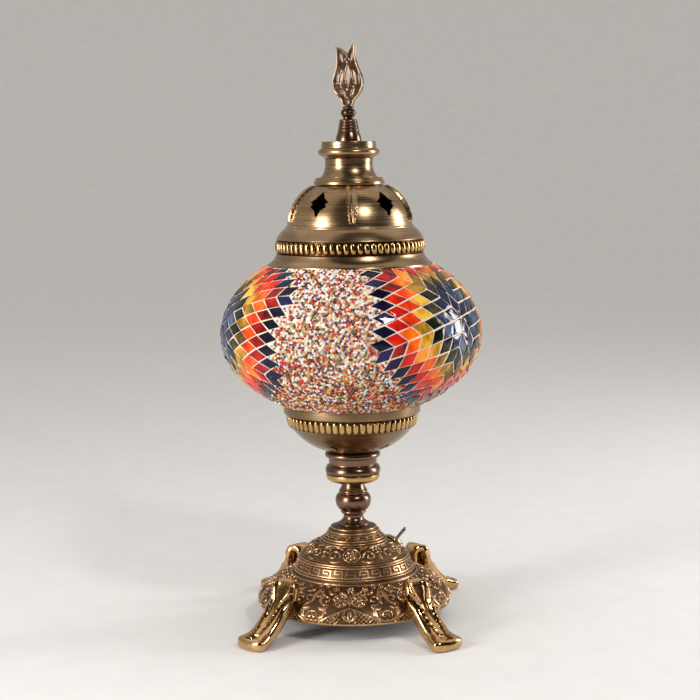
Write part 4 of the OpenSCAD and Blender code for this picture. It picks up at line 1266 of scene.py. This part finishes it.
def make_tiles():
    """One piece per tile ring. Returns every tile's outline, which the beads keep clear of."""
    outlines = []
    for ring in range(1, TILE_RINGS + 1):
        slot, stops = TILE_GLASS[ring - 1]
        parts, tone = [], []
        for medallion in range(len(MEDALLIONS)):
            for sector in range(SECTORS):
                for i in range(ring):
                    corners = tile_corners(medallion, sector, i, ring - 1 - i)
                    corners = clipped(clipped(corners, TILE_HIGH_Z, True), TILE_LOW_Z, False)
                    if len(corners) < 3 or outline_area(corners) < 4:
                        continue
                    outlines.append(corners)
                    verts, faces = tile_mesh(corners)
                    parts.append((verts, faces))
                    tone += [rng.random()] * len(verts)
        verts, faces = joined(parts)
        material = stained_glass("cut_" + slot, *stops)
        piece = make_piece(f"tiles_ring_{ring}_cut", verts, faces, material, "root",
                           [f"tiles_ring_{ring}"], None, 30)
        set_values(piece.data, "tone", tone)
    return outlines


def outline_area(corners):
    """Area of a nearly flat outline in square mm."""
    centre = np.mean(corners, 0)
    return sum(np.linalg.norm(np.cross(a - centre, b - centre)) / 2
               for a, b in zip(corners, corners[1:] + corners[:1]))


GROUT_LOW_R, GROUT_HIGH_R = 44.4, 52.6


def make_grout():
    """Bed of white paste between the tiles and under the beads, with a faintly lumpy face."""
    rows, steps = 150, 540
    t = np.linspace(-math.acos(GROUT_LOW_R / GLOBE_R), math.acos(GROUT_HIGH_R / GLOBE_R), rows)
    bearing = np.arange(steps) * 2 * math.pi / steps
    tt, bb = np.meshgrid(t, bearing, indexing="ij")
    lumps = rng.normal(0, 0.035, (rows, steps))
    outer = on_globe(tt, bb, lumps * 0.5 - 0.2)
    back = on_globe(*np.meshgrid(t[::-15], bearing, indexing="ij"), -(MOSAIC_T - 0.02))
    verts = np.concatenate([outer.reshape(-1, 3), back.reshape(-1, 3)])
    faces = ring_faces(rows + len(t[::-15]), steps)
    make_piece("mosaic_grout_bed", verts, faces, MATERIALS["grout"], "root", ["bead_bed"])


BEAD_PITCH, BEAD_R, BEAD_HOLE, BEAD_HALF = 1.56, 0.80, 0.27, 0.55
BEAD_LOW_R, BEAD_HIGH_R = 45.3, 52.9
BEAD_GROUPS = 9
# Each tint's colour, and its share of the beads at the top and at the bottom of the globe. The tints and
# their mix are the beads' own, but the larger share of white towards the top is a painted highlight.
BEAD_TINTS = [((0.97, 0.94, 0.88), 0.42, 0.16), ((0.12, 0.018, 0.012), 0.165, 0.22),
              ((0.66, 0.016, 0.008), 0.14, 0.16), ((0.50, 0.20, 0.05), 0.105, 0.19),
              ((0.86, 0.44, 0.03), 0.04, 0.07), ((0.02, 0.18, 0.05), 0.015, 0.025),
              ((0.12, 0.42, 0.46), 0.015, 0.015), ((0.02, 0.03, 0.24), 0.03, 0.03),
              ((0.80, 0.50, 0.27), 0.07, 0.13)]


def bead_spots(outlines):
    """Jittered close rows of points over the globe, less those that a tile covers."""
    spots = []
    t, t_high = -math.acos(BEAD_LOW_R / GLOBE_R), math.acos(BEAD_HIGH_R / GLOBE_R)
    row = 0
    while t < t_high:
        r = GLOBE_R * math.cos(t)
        count = int(2 * math.pi * r / BEAD_PITCH)
        turn = np.arange(count) + 0.5 * (row % 2) + rng.normal(0, 0.16, count)
        wobble = rng.normal(0, 0.0026, count)
        spots.append(np.stack([np.full(count, t) + wobble, turn * 2 * math.pi / count], 1))
        half = GLOBE_UP if t > 0 else GLOBE_DOWN
        t += BEAD_PITCH * 0.88 / math.hypot(GLOBE_R * math.sin(t), half * math.cos(t))
        row += 1
    spots = np.concatenate(spots)
    points = on_globe(spots[:, 0], spots[:, 1])
    free = np.ones(len(points), bool)
    for corners in outlines:
        centre = np.mean(corners, 0)
        near = np.where(np.linalg.norm(points - centre, axis=1) < 11)[0]
        normal = centre - GLOBE_CENTRE
        normal /= np.linalg.norm(normal)
        inside = np.ones(len(near), bool)
        for a, b in zip(corners, corners[1:] + corners[:1]):
            side = np.cross(normal, b - a)
            side /= np.linalg.norm(side)
            if (centre - a) @ side < 0:
                side = -side
            inside &= (points[near] - a) @ side > -BEAD_R * 0.86
        free[near[inside]] = False
    return spots[free], points[free]


def bead_shape(sides=10):
    """Rocaille bead about local Z: a rounded ring with a hole."""
    thick = (BEAD_R - BEAD_HOLE) / 2
    middle = (BEAD_R + BEAD_HOLE) / 2
    outline = [(middle + thick * math.cos(a), BEAD_HALF * math.sin(a) * 0.95)
               for a in (math.radians(d) for d in range(0, 360, 60))]
    return revolve(outline, sides)


def make_beads(outlines):
    """Seed beads over the free paste, most of them lying flat and the rest at any angle."""
    spots, points = bead_spots(outlines)
    shape, shape_faces = bead_shape()
    shape_faces = np.array(shape_faces)
    count = len(points)
    points = on_globe(spots[:, 0], spots[:, 1], rng.normal(0.05, 0.07, count))
    half = np.where(spots[:, 0] > 0, GLOBE_UP, GLOBE_DOWN)
    normal = np.stack([np.cos(spots[:, 0]) / GLOBE_R * np.sin(spots[:, 1]),
                       -np.cos(spots[:, 0]) / GLOBE_R * np.cos(spots[:, 1]), np.sin(spots[:, 0]) / half], 1)
    normal /= np.linalg.norm(normal, axis=1)[:, None]
    axis = normal + rng.normal(0, 1, (count, 3)) * np.where(rng.random(count) < 0.55, 0.25, 1.4)[:, None]
    axis /= np.linalg.norm(axis, axis=1)[:, None]
    ex = np.cross(axis, rng.normal(0, 1, (count, 3)))
    ex /= np.linalg.norm(ex, axis=1)[:, None]
    ey = np.cross(axis, ex)
    size = rng.normal(1, 0.09, count)[:, None]
    verts = (points[:, None] + size[..., None] * (shape[None, :, 0, None] * ex[:, None]
             + shape[None, :, 1, None] * ey[:, None] + shape[None, :, 2, None] * axis[:, None]))
    # Painted highlight: white beads grow more common towards the top of the globe
    height = np.clip((points[:, 2] - 150) / 70, 0, 1)
    tints = np.array([tint for tint, _, _ in BEAD_TINTS])
    share_high = np.array([high for _, high, _ in BEAD_TINTS])
    share_low = np.array([low for _, _, low in BEAD_TINTS])
    pick = rng.random(count)
    shares = share_low + (share_high - share_low) * height[:, None]
    ladder = np.cumsum(shares / shares.sum(1)[:, None], 1)
    kind = (pick[:, None] > ladder).sum(1).clip(0, len(tints) - 1)
    colour = tints[kind] * rng.normal(1, 0.13, (count, 1))
    colour = np.clip(np.concatenate([colour, np.ones((count, 1))], 1), 0, 1)
    group = (np.degrees(np.arctan2(points[:, 0], -points[:, 1])) % 360 // (360 / BEAD_GROUPS)).astype(int)
    for k in range(BEAD_GROUPS):
        chosen = np.where(group == k)[0]
        own = verts[chosen].reshape(-1, 3)
        faces = (shape_faces[None] + (np.arange(len(chosen)) * len(shape))[:, None, None]).reshape(-1, 4)
        piece = make_piece(f"seed_beads_{k + 1}", own, faces.tolist(), MATERIALS["beads"], "root",
                           (), None, 180)
        tint = piece.data.attributes.new("tint", "FLOAT_COLOR", "POINT")
        tint.data.foreach_set("color", np.repeat(colour[chosen], len(shape), 0).astype(np.float32).ravel())


# ---------- carried-over CAD nodes ----------

def repaint(material, *nodes):
    """Gives CAD nodes that are shown as they are a material."""
    for node in nodes:
        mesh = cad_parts[node].data
        mesh.materials.clear()
        mesh.materials.append(MATERIALS[material])


def repaint_cad():
    repaint("zinc_steel", "leg_screws", "bottom_washer", "bottom_nut", "threaded_tube", "cup_locknut",
            "bulb_cap", "bulb_tip", "finial_stud", "finial_nut")
    repaint("black_plate", "bottom_cover")
    repaint("black_plastic", "switch_body", "holder_base", "holder_barrel", "bulb_insulator")
    repaint("rubber", "cord_bush", "cup_gasket")
    repaint("ivory_plastic", "terminal_block")
    repaint("wire_insulation", "base_wires", "holder_wires")
    repaint("globe_glass", "glass_globe")
    repaint("porcelain", "holder_core")
    repaint("gold_rim", "centre_contact", "cap_springs")
    repaint("bulb_glass", "bulb_glass", "bulb_stem")
    repaint("tungsten", "bulb_filament")


make_camera()
make_studio()
make_floor()
make_base()
make_legs()
make_turned()
make_cup()
make_cap()
gadroon("cap_gadroon_beads", "cap_gadroon_ring", 68, (46.1, 46.1), (1.5, 1.75, 3.7), 7, (45.7, 45.7), "cap")
gadroon("cup_gadroon_teeth", "cup_gadroon_ring", 60, (40.2, 41.6), (1.2, 1.85, 3.9), 0, (40.9, 41.1), "root")
make_tulip()
make_switch()
tile_outlines = make_tiles()
make_grout()
make_beads(tile_outlines)
repaint_cad()
